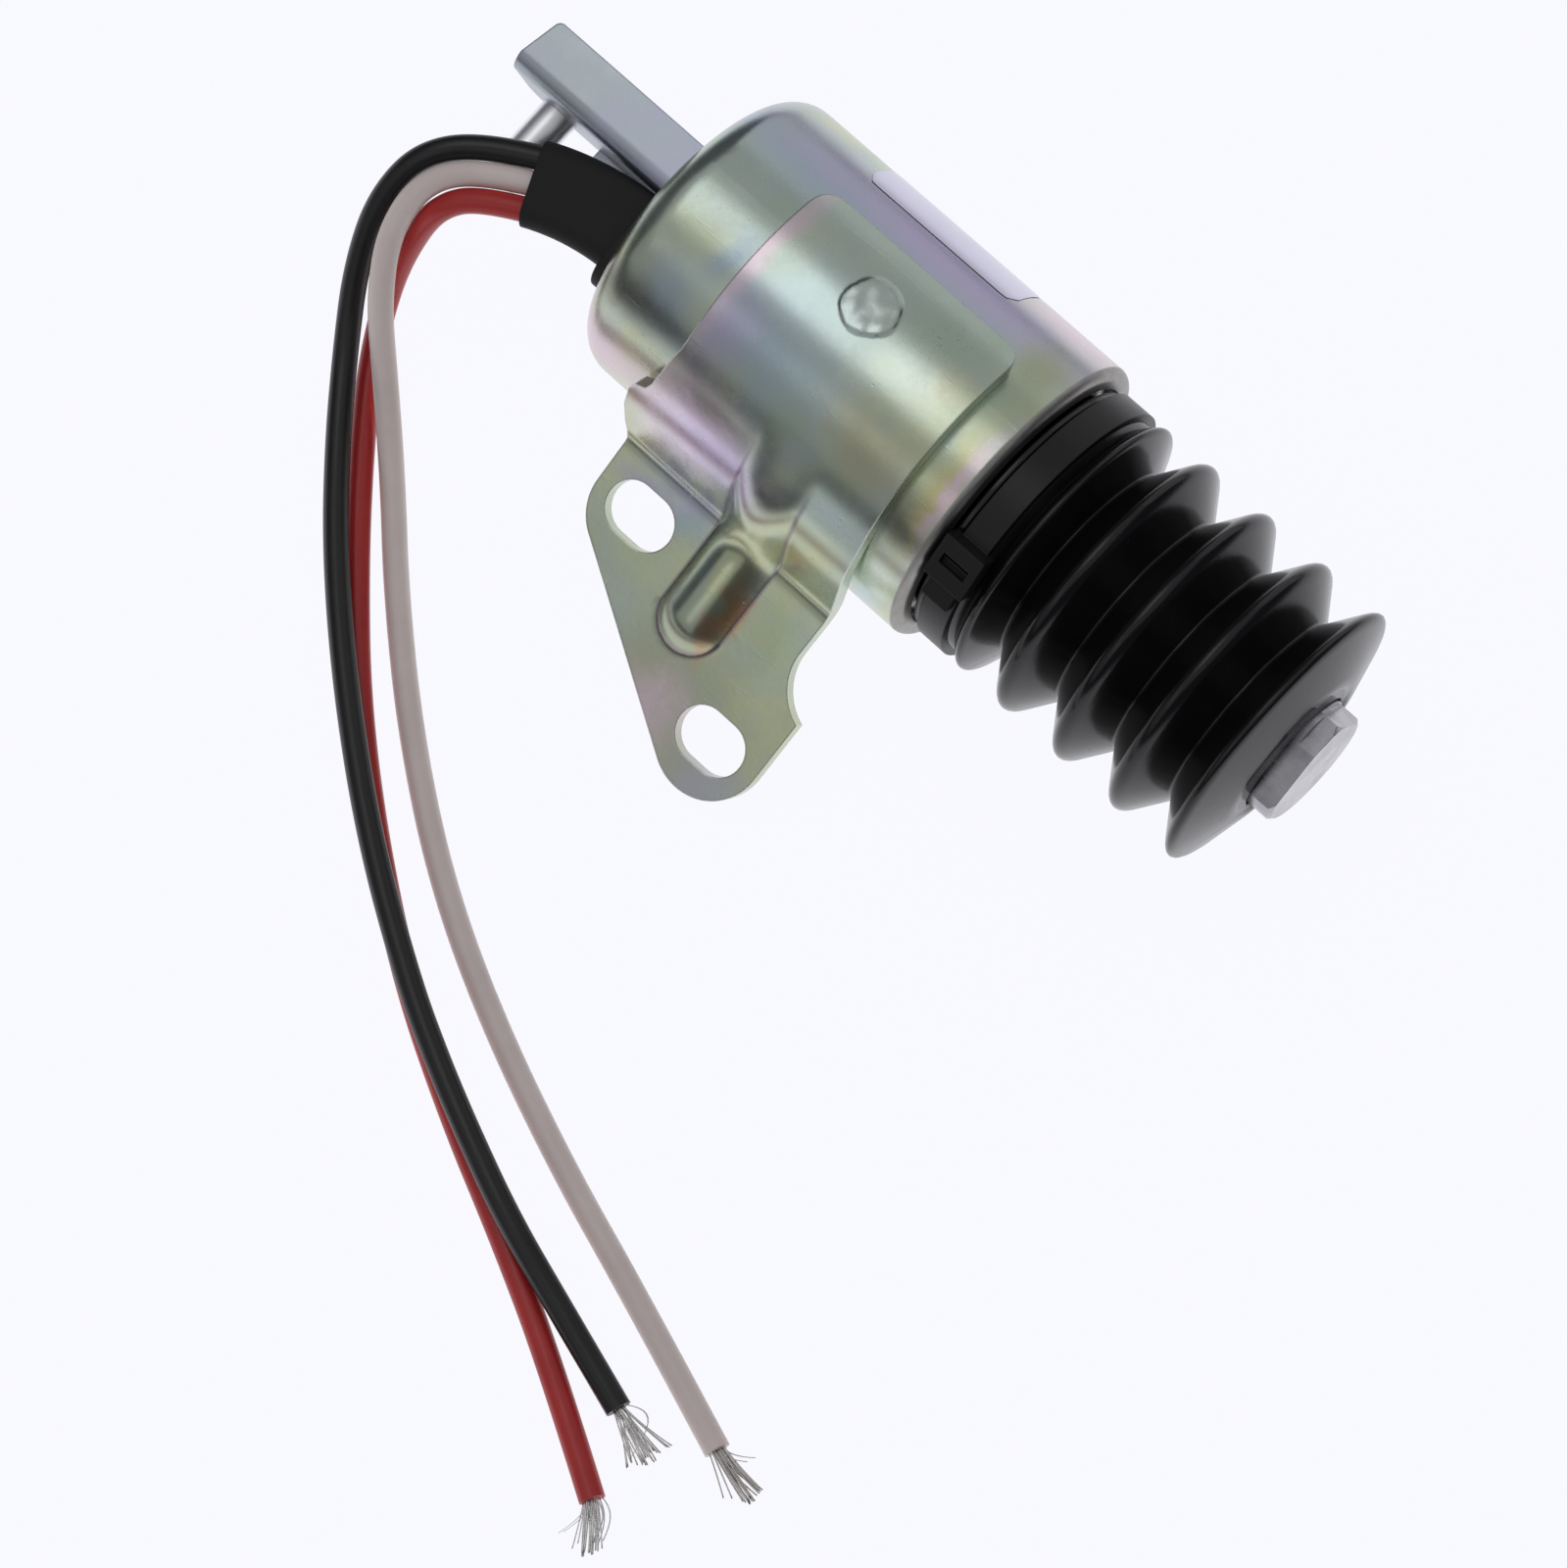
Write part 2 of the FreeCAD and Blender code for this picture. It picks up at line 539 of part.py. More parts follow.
def make_plunger():
    """Plunger with a cone at its rear, a ring groove and flats milled on its front end."""
    groove = "seat_place + seat_thickness"
    block_start = "plunger_reach - end_block"
    body = turned("plunger_body", [
        ("plunger_rear", "0"), ("plunger_rear", "cone_tip"),
        ("plunger_rear + cone_depth", "plunger_radius"), (groove, "plunger_radius"),
        (groove, "plunger_radius - groove_depth"),
        (f"{groove} + ring_thickness", "plunger_radius - groove_depth"),
        (f"{groove} + ring_thickness", "plunger_radius"), ("plunger_reach", "plunger_radius"),
        ("plunger_reach", "0")])
    round_rings(body, [("plunger_reach", "plunger_radius")], "end_chamfer", "Chamfer")
    flats = []
    for name, angle, height, near in (
            ("large_flat", "flat_angle", "(plunger_radius - flat_depth)", "0"),
            ("second_flat", "side_angle", "(plunger_radius - side_depth)", "side_step"),
            ("small_facet", "facet_angle", "(plunger_radius - facet_depth)", "facet_step")):
        block = doc.addObject("Part::Box", name)
        bind(block, "Length", f"end_block + plunger_show - {near}")
        bind(block, "Width", "2 * plunger_diameter")
        bind(block, "Height", "plunger_radius")
        block.Placement = Placement(Vector(0, 0, 0), Rotation(Vector(1, 0, 0), 1))
        turn = f"(view_angle + {angle})"
        bind(block, "Placement.Base.x", f"rim_x + {block_start} + {near}")
        bind(block, "Placement.Base.y",
             f"axis_y - plunger_diameter * cos({turn}) - {height} * sin({turn})")
        bind(block, "Placement.Base.z",
             f"can_radius - plunger_diameter * sin({turn}) + {height} * cos({turn})")
        bind(block, "Placement.Rotation.Angle", turn)
        flats.append(block)
    tool = joined("flat_cutters", flats)
    keep(cut("plunger_milled", body, tool), "plunger")


def make_spring():
    """Round-wire return spring between the collar and the seat, with the seat and its ring."""
    keep(ring("seat", "seat_place", "seat_place + seat_thickness", "plunger_radius + slip / 4",
              "seat_radius"), "spring_seat")
    keep(ring("snap_ring", "seat_place + seat_thickness",
              "seat_place + seat_thickness + ring_thickness",
              "plunger_radius - groove_depth + slip / 4", "ring_radius"), "retaining_ring")
    wire = size("spring_wire")
    start = size("rim_x + spigot_reach + slip") + wire / 2
    end = size("rim_x + seat_place - slip") - wire / 2
    steps = int(size("spring_turns")) * 8
    corner_radius = size("spring_radius") / math.cos(math.pi / 8)
    points = []
    for i in range(steps + 1):
        angle = math.pi * i / 4
        points.append(Vector(start + (end - start) * i / steps,
                             size("axis_y") + corner_radius * math.cos(angle),
                             size("can_radius") + corner_radius * math.sin(angle)))
    path, _ = rounded_wire(points)
    circle = Part.Wire([Part.makeCircle(wire / 2, points[0], (points[1] - points[0]).normalize())])
    spring = doc.addObject("Part::Feature", "coil_spring")
    spring.Shape = path.makePipeShell([circle], True, True)
    keep(spring, "return_spring")


def make_boot():
    """Bellows boot: a neck on the collar, five folds and a front lip round the plunger."""
    def fold(place_along, radius, inside):
        wall = " - boot_wall" if inside else ""
        return place_along, f"{radius}{wall}"

    outside = [("boot_gap", "neck_radius"), ("neck_end", "neck_radius"),
               fold("first_peak", "peak_radius", False)]
    inside = [("boot_gap", "spigot_radius"), ("neck_end + boot_wall / 2", "spigot_radius"),
              fold("first_peak", "peak_radius", True)]
    for i in range(4):
        valley = f"first_valley + {i} * fold_pitch"
        peak = f"{valley} + fold_pitch / 2"
        outside += [fold(valley, "valley_radius", False), fold(peak, "peak_radius", False)]
        inside += [fold(valley, "valley_radius", True), fold(peak, "peak_radius", True)]
    lip = "plunger_radius + lip_gap"
    outside += [("boot_end", "lip_radius"), ("boot_end", lip)]
    inside += [("boot_end - boot_wall", "lip_radius"), ("boot_end - boot_wall", lip)]
    body = turned("bellows", outside + inside[::-1])
    spots = outside[2:-2] + inside[2:-2]
    round_rings(body, spots, "fold_round")
    keep(body, "boot")


def make_tie():
    """Cable tie round the boot's neck: band, lock head with its slot and a cut tail."""
    inner = "neck_radius"
    outer = f"({inner} + tie_thickness)"
    band = ring("band", "tie_start", "tie_start + tie_width", inner, outer)
    middle = "tie_start + tie_width / 2"
    head = doc.addObject("PartDesign::Body", "lock_head")
    sketch = sketch_in(head, "XY_Plane", f"{inner} + tie_thickness / 2")
    half = "tie_head / 2"
    outline(sketch, [(f"{middle} - {half}", f"-{half}"), (f"{middle} + {half}", f"-{half}"),
                     (f"{middle} + {half}", half), (f"{middle} - {half}", half)])
    pad(head, sketch, "tie_head_height - tie_thickness / 2")
    window = sketch_in(head, "XY_Plane", f"{inner} + tie_head_height")
    slot = "(tie_head / 2 - tie_slot / 2 - tie_slot_floor)"
    outline(window, [(f"{middle} - {slot}", "-tie_slot / 2"), (f"{middle} + {slot}", "-tie_slot / 2"),
                     (f"{middle} + {slot}", "tie_slot / 2"), (f"{middle} - {slot}", "tie_slot / 2")])
    pocket(head, window, "2 * (tie_head_height - tie_thickness - tie_slot_floor)")
    place(head, turn="view_angle + tie_angle")
    tail = doc.addObject("PartDesign::Body", "cut_tail")
    stub = sketch_in(tail, "XY_Plane", f"{inner} + tie_thickness / 2")
    outline(stub, [("tie_start", "-tie_head / 2 - tie_tail"), ("tie_start + tie_width", "-tie_head / 2 - tie_tail"),
                   ("tie_start + tie_width", "0"), ("tie_start", "0")])
    pad(tail, stub, "1.5 * tie_thickness")
    place(tail, turn="view_angle + tie_angle")
    keep(joined("tie", [band, head, tail]), "boot_tie")


def on_circle(x, y, radius, angle):
    """Point of a circle at an angle in radians."""
    return Vector(x + radius * math.cos(angle), y + radius * math.sin(angle), 0)


def touch_angle(point, x, y, radius, side):
    """Angle on a circle where a line from an outside point touches it."""
    apart = math.hypot(point.x - x, point.y - y)
    towards = math.atan2(point.y - y, point.x - x)
    return towards + side * math.acos(radius / apart)


def make_sheet_section():
    """Bent sheet: the wrap on the can, the run to the ridge, the web and a stub of the flange."""
    body = doc.addObject("PartDesign::Body", "bent_sheet")
    sketch = sketch_in(body, "YZ_Plane", "saddle_rear")
    stub = "1.5 * sheet_thickness"
    corners = [
        ("-outer_radius * sin(saddle_start_angle)", "outer_radius * cos(saddle_start_angle)"),
        ("-leave_out", "leave_up"), ("-ridge_out", "ridge_up"), ("-fold_out", "fold_up"),
        (f"-(fold_out + {stub} * flange_run_out)", f"fold_up + {stub} * flange_run_up"),
        (f"-(fold_out + {stub} * flange_run_out - sheet_thickness * sin(flange_angle))",
         f"fold_up + {stub} * flange_run_up - sheet_thickness * cos(flange_angle)"),
        ("-inner_fold_out", "inner_fold_up"), ("-inner_ridge_out", "inner_ridge_up"),
        ("-inner_leave_out", "inner_leave_up"),
        ("-can_radius * sin(saddle_start_angle)", "can_radius * cos(saddle_start_angle)")]
    arcs = {0: "outer_radius", 8: "can_radius"}
    points = [Vector(size(x), size(y), 0) for x, y in corners]
    ends = []
    for i, start in enumerate(points):
        end = points[(i + 1) % len(points)]
        if i in arcs:
            angles = sorted((math.atan2(start.y, start.x), math.atan2(end.y, end.x)))
            wrap = Part.Circle(Vector(0, 0, 0), Vector(0, 0, 1), size(arcs[i]))
            sketch.addGeometry(Part.ArcOfCircle(wrap, *angles), False)
            number = sketch.addConstraint(Sketcher.Constraint("Radius", i, size(arcs[i])))
            bind(sketch, f"Constraints[{number}]", arcs[i])
            ends.append((1, 2) if i == 0 else (2, 1))
        else:
            sketch.addGeometry(Part.LineSegment(start, end), False)
            ends.append((1, 2))
    for i in range(len(points)):
        after = (i + 1) % len(points)
        sketch.addConstraint(Sketcher.Constraint("Coincident", i, ends[i][1], after, ends[after][0]))
        tie_point(sketch, i, ends[i][0], *corners[i])
    pad(body, sketch, "saddle_front - saddle_rear")
    along = Vector(1, 0, 0)
    for out, up, amount in (("ridge_out", "ridge_up", "ridge_round"),
                            ("inner_ridge_out", "inner_ridge_up", "ridge_round - sheet_thickness"),
                            ("fold_out", "fold_up", "fold_corner"),
                            ("inner_fold_out", "inner_fold_up", "fold_corner + sheet_thickness")):
        round_lines(body, along, [(("y", -size(out)), ("z", size(up)))], amount)
    free = math.radians(size("saddle_start_angle"))
    radial = Vector(0, -math.sin(free), math.cos(free))
    round_lines(body, radial, [(("x", size("saddle_rear")),), (("x", size("saddle_front")),)],
                "saddle_corner")
    place(body)
    return body


def make_flange():
    """Sloping flange with a lobe round each bolt slot and a notch at the front."""
    body = doc.addObject("PartDesign::Body", "flange_plate")
    sketch = sketch_in(body, "XY_Plane")
    rear_x, rear_y, rear_r = size("rear_slot_x"), size("rear_slot_reach"), size("rear_lobe")
    front_x, front_y, front_r = size("front_slot_x"), size("front_slot_reach"), size("front_lobe")
    notch_x, notch_y, notch_r = size("notch_x"), size("notch_reach"), size("notch_radius")
    start = Vector(size("saddle_rear"), 0, 0)
    finish = Vector(size("saddle_front"), 0, 0)
    edge_x = front_x + front_r
    rear_touch = touch_angle(start, rear_x, rear_y, rear_r, -1) % (2 * math.pi)
    apart = math.hypot(front_x - rear_x, front_y - rear_y)
    outer = math.atan2(front_y - rear_y, front_x - rear_x) + math.acos((rear_r - front_r) / apart)
    corner_turn = math.pi - math.acos((notch_x - edge_x) / notch_r)
    notch_touch = touch_angle(finish, notch_x, notch_y, notch_r, -1) % (2 * math.pi)
    up = Vector(0, 0, 1)
    line_1 = sketch.addGeometry(Part.LineSegment(
        start, on_circle(rear_x, rear_y, rear_r, rear_touch)), False)
    rear = sketch.addGeometry(Part.ArcOfCircle(
        Part.Circle(Vector(rear_x, rear_y, 0), up, rear_r), outer, rear_touch), False)
    line_2 = sketch.addGeometry(Part.LineSegment(
        on_circle(rear_x, rear_y, rear_r, outer), on_circle(front_x, front_y, front_r, outer)), False)
    front = sketch.addGeometry(Part.ArcOfCircle(
        Part.Circle(Vector(front_x, front_y, 0), up, front_r), 0, outer), False)
    corner = on_circle(notch_x, notch_y, notch_r, corner_turn)
    line_3 = sketch.addGeometry(Part.LineSegment(Vector(edge_x, front_y, 0), corner), False)
    notch = sketch.addGeometry(Part.ArcOfCircle(
        Part.Circle(Vector(notch_x, notch_y, 0), up, notch_r), corner_turn, notch_touch), False)
    line_4 = sketch.addGeometry(Part.LineSegment(
        on_circle(notch_x, notch_y, notch_r, notch_touch), finish), False)
    line_5 = sketch.addGeometry(Part.LineSegment(finish, start), False)
    for arc, x, y, radius in ((rear, "rear_slot_x", "rear_slot_reach", "rear_lobe"),
                              (front, "front_slot_x", "front_slot_reach", "front_lobe"),
                              (notch, "notch_x", "notch_reach", "notch_radius")):
        tie_point(sketch, arc, 3, x, y)
        number = sketch.addConstraint(Sketcher.Constraint("Radius", arc, size(radius)))
        bind(sketch, f"Constraints[{number}]", radius)
    tie_point(sketch, line_1, 1, "saddle_rear", "0")
    tie_point(sketch, line_5, 1, "saddle_front", "0")
    for a, a_end, b, b_end in ((line_1, 2, rear, 2), (rear, 1, line_2, 1), (line_2, 2, front, 2),
                               (front, 1, line_3, 1), (notch, 2, line_4, 1)):
        sketch.addConstraint(Sketcher.Constraint("Tangent", a, a_end, b, b_end))
    for a, a_end, b, b_end in ((line_3, 2, notch, 1), (line_4, 2, line_5, 1), (line_5, 2, line_1, 1)):
        sketch.addConstraint(Sketcher.Constraint("Coincident", a, a_end, b, b_end))
    sketch.addConstraint(Sketcher.Constraint("Vertical", line_3))
    for x, y in (("rear_slot_x", "rear_slot_reach"), ("front_slot_x", "front_slot_reach")):
        slot_outline(sketch, x, y, "slot_length", "slot_width")
    pad(body, sketch, "sheet_thickness")
    round_lines(body, up, [(("x", corner.x), ("y", corner.y))], "sheet_thickness")
    place(body, y="-fold_out", z="fold_up", turn="180 + flange_angle")
    return body


def crest_points(depth):
    """Corners of the rib's crest line, or of a line at a depth below it."""
    half_1 = "(web_angle - rib_start_angle) / 2"
    half_2 = "(web_angle - flange_angle) / 2"
    return [
        (f"(outer_radius - {depth}) * sin(rib_start_angle)", f"(outer_radius - {depth}) * cos(rib_start_angle)"),
        (f"crest_out - {depth} * sin(rib_start_angle + {half_1}) / cos({half_1})",
         f"crest_up - {depth} * cos(rib_start_angle + {half_1}) / cos({half_1})"),
        (f"crest_fold_out - {depth} * sin(flange_angle + {half_2}) / cos({half_2})",
         f"crest_fold_up - {depth} * cos(flange_angle + {half_2}) / cos({half_2})")]


def make_rib():
    """Raised rib from the saddle over the ridge and the fold to the flange, with a round end."""
    body = doc.addObject("PartDesign::Body", "rib_form")
    sketch = sketch_in(body, "YZ_Plane", "rib_x")
    crest = crest_points("0")
    end = ("crest_end_out", "crest_end_up")
    under = "(rib_height + sheet_thickness / 2)"
    below = (f"crest_end_out - {under} * sin(flange_angle)", f"crest_end_up - {under} * cos(flange_angle)")
    inside = [("fold_out - sheet_thickness / 2", "fold_up - sheet_thickness / 2"),
              ("ridge_out - sheet_thickness / 2", "ridge_up - sheet_thickness / 2"),
              ("(outer_radius - sheet_thickness / 2) * sin(rib_start_angle)",
               "(outer_radius - sheet_thickness / 2) * cos(rib_start_angle)")]
    outline(sketch, [(f"-({out})", up) for out, up in crest + [end, below] + inside])
    pad(body, sketch, "rib_width", both_ways=True)
    across = Vector(1, 0, 0)
    for (out, up), amount in ((crest[1], "ridge_round"), (crest[2], "rib_height")):
        round_lines(body, across, [(("y", -size(out)), ("z", size(up)))], amount)
    slope = math.radians(size("flange_angle"))
    normal = Vector(0, -math.sin(slope), math.cos(slope))
    round_lines(body, normal, [(("x", size("rib_x + rib_width / 2")),),
                               (("x", size("rib_x - rib_width / 2")),)], "rib_width * 0.49")
    doc.recompute()
    shape = body.Tip.Shape
    outward = Vector(0, -0.8, 0.6)
    tops = [f for f in shape.Faces if f.normalAt(*middle_of(f)).dot(outward) > 0.8]
    far = -size("crest_end_out")
    sides = [e for f in tops for e in f.Edges
             if not line_through(e, across) or abs(e.CenterOfMass.y - far) < 0.01]
    names = [f"Edge{i}" for i, e in enumerate(shape.Edges, start=1) if any(e.isSame(s) for s in sides)]
    base = body.Tip
    rounding = body.newObject("PartDesign::Fillet", "rib_top_rounding")
    rounding.Base = (base, names)
    bind(rounding, "Radius", "rib_top_round")
    place(body)
    return body


def make_channel():
    """Hollow under the rib, one sheet thickness below its crest."""
    body = doc.addObject("PartDesign::Body", "rib_channel")
    sketch = sketch_in(body, "YZ_Plane", "rib_x")
    start, ridge, fold = crest_points("sheet_thickness")
    short = "(rib_end - sheet_thickness)"
    end_out = f"(fold_out + (rib_height - sheet_thickness) * sin(flange_angle) + {short} * flange_run_out)"
    end_up = f"(fold_up + (rib_height - sheet_thickness) * cos(flange_angle) + {short} * flange_run_up)"
    drop = "2 * sheet_thickness"
    outline(sketch, [(f"-({out})", up) for out, up in (
        start, ridge, fold, (end_out, end_up),
        (f"{end_out} - {drop} * sin(flange_angle)", f"{end_up} - {drop} * cos(flange_angle)"),
        ("can_radius * 0.8", "-can_radius * 0.3"))])
    pad(body, sketch, "rib_width - 2 * sheet_thickness", both_ways=True)
    place(body)
    return body


def make_bracket():
    """Folded mounting bracket with its slots, rib and weld mark."""
    mark = doc.addObject("Part::Cylinder", "weld_mark")
    bind(mark, "Radius", "weld_diameter / 2")
    bind(mark, "Height", "sheet_thickness / 2 + weld_height")
    under = "(outer_radius - sheet_thickness / 2)"
    place(mark, x="weld_x", y=f"-{under} * sin(weld_angle)", z=f"{under} * cos(weld_angle)",
          turn="weld_angle")
    whole = joined("sheet_with_rib", [make_sheet_section(), make_flange(), make_rib(), mark])
    keep(cut("bracket", whole, make_channel()), "mounting_bracket")


def make_arm():
    """Rear arm folded from strip: a facing leg, a web and a foot, with a riveted stud."""
    body = doc.addObject("PartDesign::Body", "arm_strip")
    sketch = sketch_in(body, "YZ_Plane", "arm_reach")
    far = "arm_side - arm_width"
    outline(sketch, [
        (f"-({far})", "arm_top"), ("-arm_side", "arm_top"), ("-arm_side", "web_bottom"),
        ("arm_sheet - arm_side", "web_bottom"), ("arm_sheet - arm_side", "arm_top - arm_sheet"),
        (f"-({far})", "arm_top - arm_sheet")])
    pad(body, sketch, "-can_length - arm_reach")
    foot = sketch_in(body, "YZ_Plane", "foot_start")
    outline(foot, [("arm_sheet - arm_side", "web_bottom"), ("-arm_side - foot_width", "web_bottom"),
                   ("-arm_side - foot_width", "web_bottom + arm_sheet"),
                   ("arm_sheet - arm_side", "web_bottom + arm_sheet")])
    pad(body, foot, "-can_length - foot_start")
    slant = sketch_in(body, "XY_Plane", "arm_top - arm_sheet / 2")
    outline(slant, [("arm_reach", "arm_sheet - arm_side"), (f"arm_reach + arm_slant", f"-({far})"),
                    ("arm_reach - arm_slant", f"-({far})"), ("arm_reach - arm_slant", "arm_sheet - arm_side")])
    pocket(body, slant, "2 * arm_sheet")
    along, side, up = Vector(1, 0, 0), Vector(0, 1, 0), Vector(0, 0, 1)
    outer = -size("arm_side")
    inner = size("arm_sheet - arm_side")
    top = size("arm_top")
    bottom = size("web_bottom")
    round_lines(body, along, [(("y", outer), ("z", top))], "arm_bend_radius")
    round_lines(body, along, [(("y", inner), ("z", top - size("arm_sheet")))], "arm_bend_radius / 4")
    round_lines(body, up, [(("x", size("foot_start")), ("y", -size("arm_side + foot_width")))],
                "arm_sheet * 1.6")
    round_lines(body, side, [(("x", size("arm_reach")), ("z", bottom))], "arm_sheet * 2")
    round_lines(body, up, [(("x", size("arm_reach + arm_slant")), ("y", -size(far)))], "arm_sheet / 2")
    place(body, turn="view_angle")
    bore = doc.addObject("Part::Cylinder", "stud_bore")
    stud = doc.addObject("Part::Cylinder", "stud_shank")
    head = doc.addObject("Part::Cylinder", "stud_rivet")
    tenon = doc.addObject("Part::Cylinder", "stud_tenon")
    tenon_radius = "(stud_diameter / 2 - tenon_step)"
    for piece, inset, radius, length in (
            (bore, "-arm_sheet / 2", tenon_radius, "2 * arm_sheet"),
            (tenon, "0", tenon_radius, "2 * arm_sheet"),
            (stud, "arm_sheet", "(stud_diameter / 2)", "stud_length"),
            (head, "-stud_head_height", "(stud_head / 2)", "stud_head_height")):
        bind(piece, "Radius", radius)
        bind(piece, "Height", length)
        start = f"(arm_side - arm_sheet + ({inset}))"
        place(piece, x="stud_x", y=f"-{start} * cos(view_angle) - stud_height * sin(view_angle)",
              z=f"-{start} * sin(view_angle) + stud_height * cos(view_angle)",
              turn="90 + view_angle")
    keep(cut("arm_bored", body, bore), "rear_arm")
    pin = joined("stud_and_rivet", [stud, tenon, head])
    keep(pin, "arm_pin")


def make_exit():
    """Grommet in the can's rear wall and the bent sleeve that holds the leads side by side."""
    plug = exit_prism("grommet_plug", "grommet_wall", "-can_length - grommet_lip / 2",
                      "rear_wall + grommet_lip")
    lip = exit_prism("grommet_rim", "grommet_wall + grommet_lip", "-can_length - grommet_lip",
                     "-can_length")
    solid = joined("grommet_solid", [plug, lip])
    bore = exit_prism("grommet_bore", "slip / 4", "-can_length - 2 * grommet_lip",
                      "rear_wall + 2 * grommet_lip")
    trim = doc.addObject("Part::Box", "grommet_trim")
    bind(trim, "Length", "3 * grommet_lip")
    bind(trim, "Width", "can_radius")
    bind(trim, "Height", "2 * can_radius")
    edge = "(can_radius - arm_side - slip / 4)"
    trim.Placement = Placement(Vector(0, 0, 0), Rotation(Vector(1, 0, 0), 1))
    place(trim, x="-can_length - 3 * grommet_lip",
          y="-(arm_side + slip / 4) * cos(view_angle) + can_radius * sin(view_angle)",
          z="-(arm_side + slip / 4) * sin(view_angle) - can_radius * cos(view_angle)",
          turn="view_angle")
    keep(cut("grommet_body", solid, joined("grommet_tools", [bore, trim])), "lead_grommet")

    body = doc.addObject("PartDesign::Body", "sleeve_tube")
    sketch = sketch_in(body, "YZ_Plane", "-can_length")
    for shrink in ("0", "sleeve_wall"):
        slot_outline(sketch, "-exit_side", "exit_height", f"sleeve_across - 2 * {shrink}",
                     f"sleeve_thick - 2 * {shrink}")
    axis_at = "-(exit_side + sleeve_bend_radius)"
    low = Vector(size(axis_at), 0, 0)
    high = Vector(size(axis_at), size("sleeve_bend_radius / 4"), 0)
    line = sketch.addGeometry(Part.LineSegment(low, high), True)
    tie_point(sketch, line, 1, axis_at, "0")
    tie_point(sketch, line, 2, axis_at, "sleeve_bend_radius / 4")
    pad(body, sketch, "can_length + rear_wall + 2 * can_wall")
    straight = size("can_length + rear_wall + 2 * can_wall")
    bend = body.newObject("PartDesign::Revolution", "sleeve_bend_turn")
    bend.Profile = sketch
    bend.ReferenceAxis = (sketch, ["Axis0"])
    bind(bend, "Angle", "sleeve_turn_angle")
    doc.recompute()
    if body.Shape.BoundBox.XMax > -size("can_length") + straight + 0.01:
        bend.Reversed = True
    place(body, turn="view_angle")
    keep(body, "lead_sleeve")


# Points that each lead passes after the sleeve: from the rim, from the axis, over the floor
BLACK_ROUTE = [
    (-75.9, -15.8, 23.2), (-77.5, -22.0, 18.0), (-75.7, -28.0, 11.3),
    (-71.5, -34.2, 5.6), (-64.0, -43.0, 4.4), (-54.5, -52.7, 4.4), (-41.9, -63.4, 4.4),
    (-27.3, -74.0, 4.5), (-12.6, -82.6, 4.9), (-3.9, -86.8, 5.1), (4.1, -90.2, 5.1),
    (14.3, -94.1, 4.8), (24.7, -96.9, 3.3), (37.0, -100.3, 2.6)]
WHITE_ROUTE = [
    (-73.4, -17.9, 22.8), (-74.0, -23.8, 17.9), (-70.8, -29.2, 12.0),
    (-65.4, -33.9, 5.4), (-57.5, -40.8, 1.5), (-47.0, -50.6, 1.5), (-33.8, -61.4, 1.5),
    (-19.0, -71.3, 1.5), (-3.6, -78.8, 1.5), (13.7, -85.3, 1.5), (29.9, -90.2, 1.5),
    (47.5, -96.0, 1.5)]
RED_ROUTE = [
    (-71.0, -19.2, 20.6), (-72.7, -22.9, 12.6), (-72.6, -26.6, 6.0),
    (-68.9, -33.3, 1.7), (-61.9, -41.5, 1.5), (-53.2, -50.8, 1.5), (-41.4, -62.2, 1.5),
    (-28.4, -72.4, 1.5), (-13.8, -82.1, 1.5), (1.1, -89.6, 1.5), (14.9, -95.5, 1.5),
    (28.3, -101.8, 1.5), (41.7, -109.1, 1.5)]


def sleeve_point(across, inset):
    """Point in the sleeve's mouth: across the row of leads, and inset along the sleeve."""
    turn = math.radians(size("sleeve_turn_angle"))
    reach = size("sleeve_bend_radius")
    side = size("exit_side") + reach * (1 - math.cos(turn)) + across * math.cos(turn)
    back = -size("can_length") - (reach - across) * math.sin(turn)
    side -= inset * math.sin(turn)
    back += inset * math.cos(turn)
    up = size("exit_height")
    view = math.radians(size("view_angle"))
    return Vector(size("rim_x") + back,
                  size("axis_y") - side * math.cos(view) - up * math.sin(view),
                  size("can_radius") - side * math.sin(view) + up * math.cos(view))


def make_lead(name, across, route):
    """Insulated lead from inside the sleeve along its route, with its bare strands."""
    radius = size("lead_diameter / 2")
    side = size("lead_pitch") * across
    on_axis = Vector(size("rim_x"), size("axis_y"), 0)
    points = [sleeve_point(side, size("lead_inset")), sleeve_point(side, -size("lead_straight"))]
    points += [on_axis + Vector(*point) for point in route]
    wire, tightest = rounded_wire(points)
    ahead = (points[1] - points[0]).normalize()
    circle = Part.Wire([Part.makeCircle(radius, points[0], ahead)])
    lead = doc.addObject("Part::Feature", name + "_insulation")
    lead.Shape = wire.makePipeShell([circle], True, True)
    keep(lead, name + "_lead")
    ideal = math.pi * radius ** 2 * wire.Length
    print(name, f"length {wire.Length:.1f} mm, tightest bend {tightest:.1f} mm,",
          f"volume against section by length {lead.Shape.Volume / ideal:.4f}")
    last = (points[-1] - points[-2]).normalize()
    strands = doc.addObject("Part::Cone", name + "_bare")
    bind(strands, "Radius1", "strand_start / 2")
    bind(strands, "Radius2", "strand_end / 2")
    bind(strands, "Height", "strand_length")
    strands.Placement = Placement(points[-1], Rotation(Vector(0, 0, 1), last))
    keep(strands, name + "_strands")


def write_all():
    """Check every object and write each sub-part to its own file."""
    doc.recompute()
    for thing in doc.Objects:
        if {"Invalid", "Error"} & set(thing.State):
            raise RuntimeError(f"{thing.Name} failed: {thing.State}")
    os.makedirs("parts", exist_ok=True)
    for thing in subparts:
        shape = thing.Shape
        if shape.isNull() or not shape.isValid():
            raise RuntimeError(f"{thing.Label} has no valid shape")
        shape.exportStep(f"parts/{thing.Label}.step")
        print(thing.Label, f"{shape.Volume:.1f} mm3", len(shape.Solids), "solid")


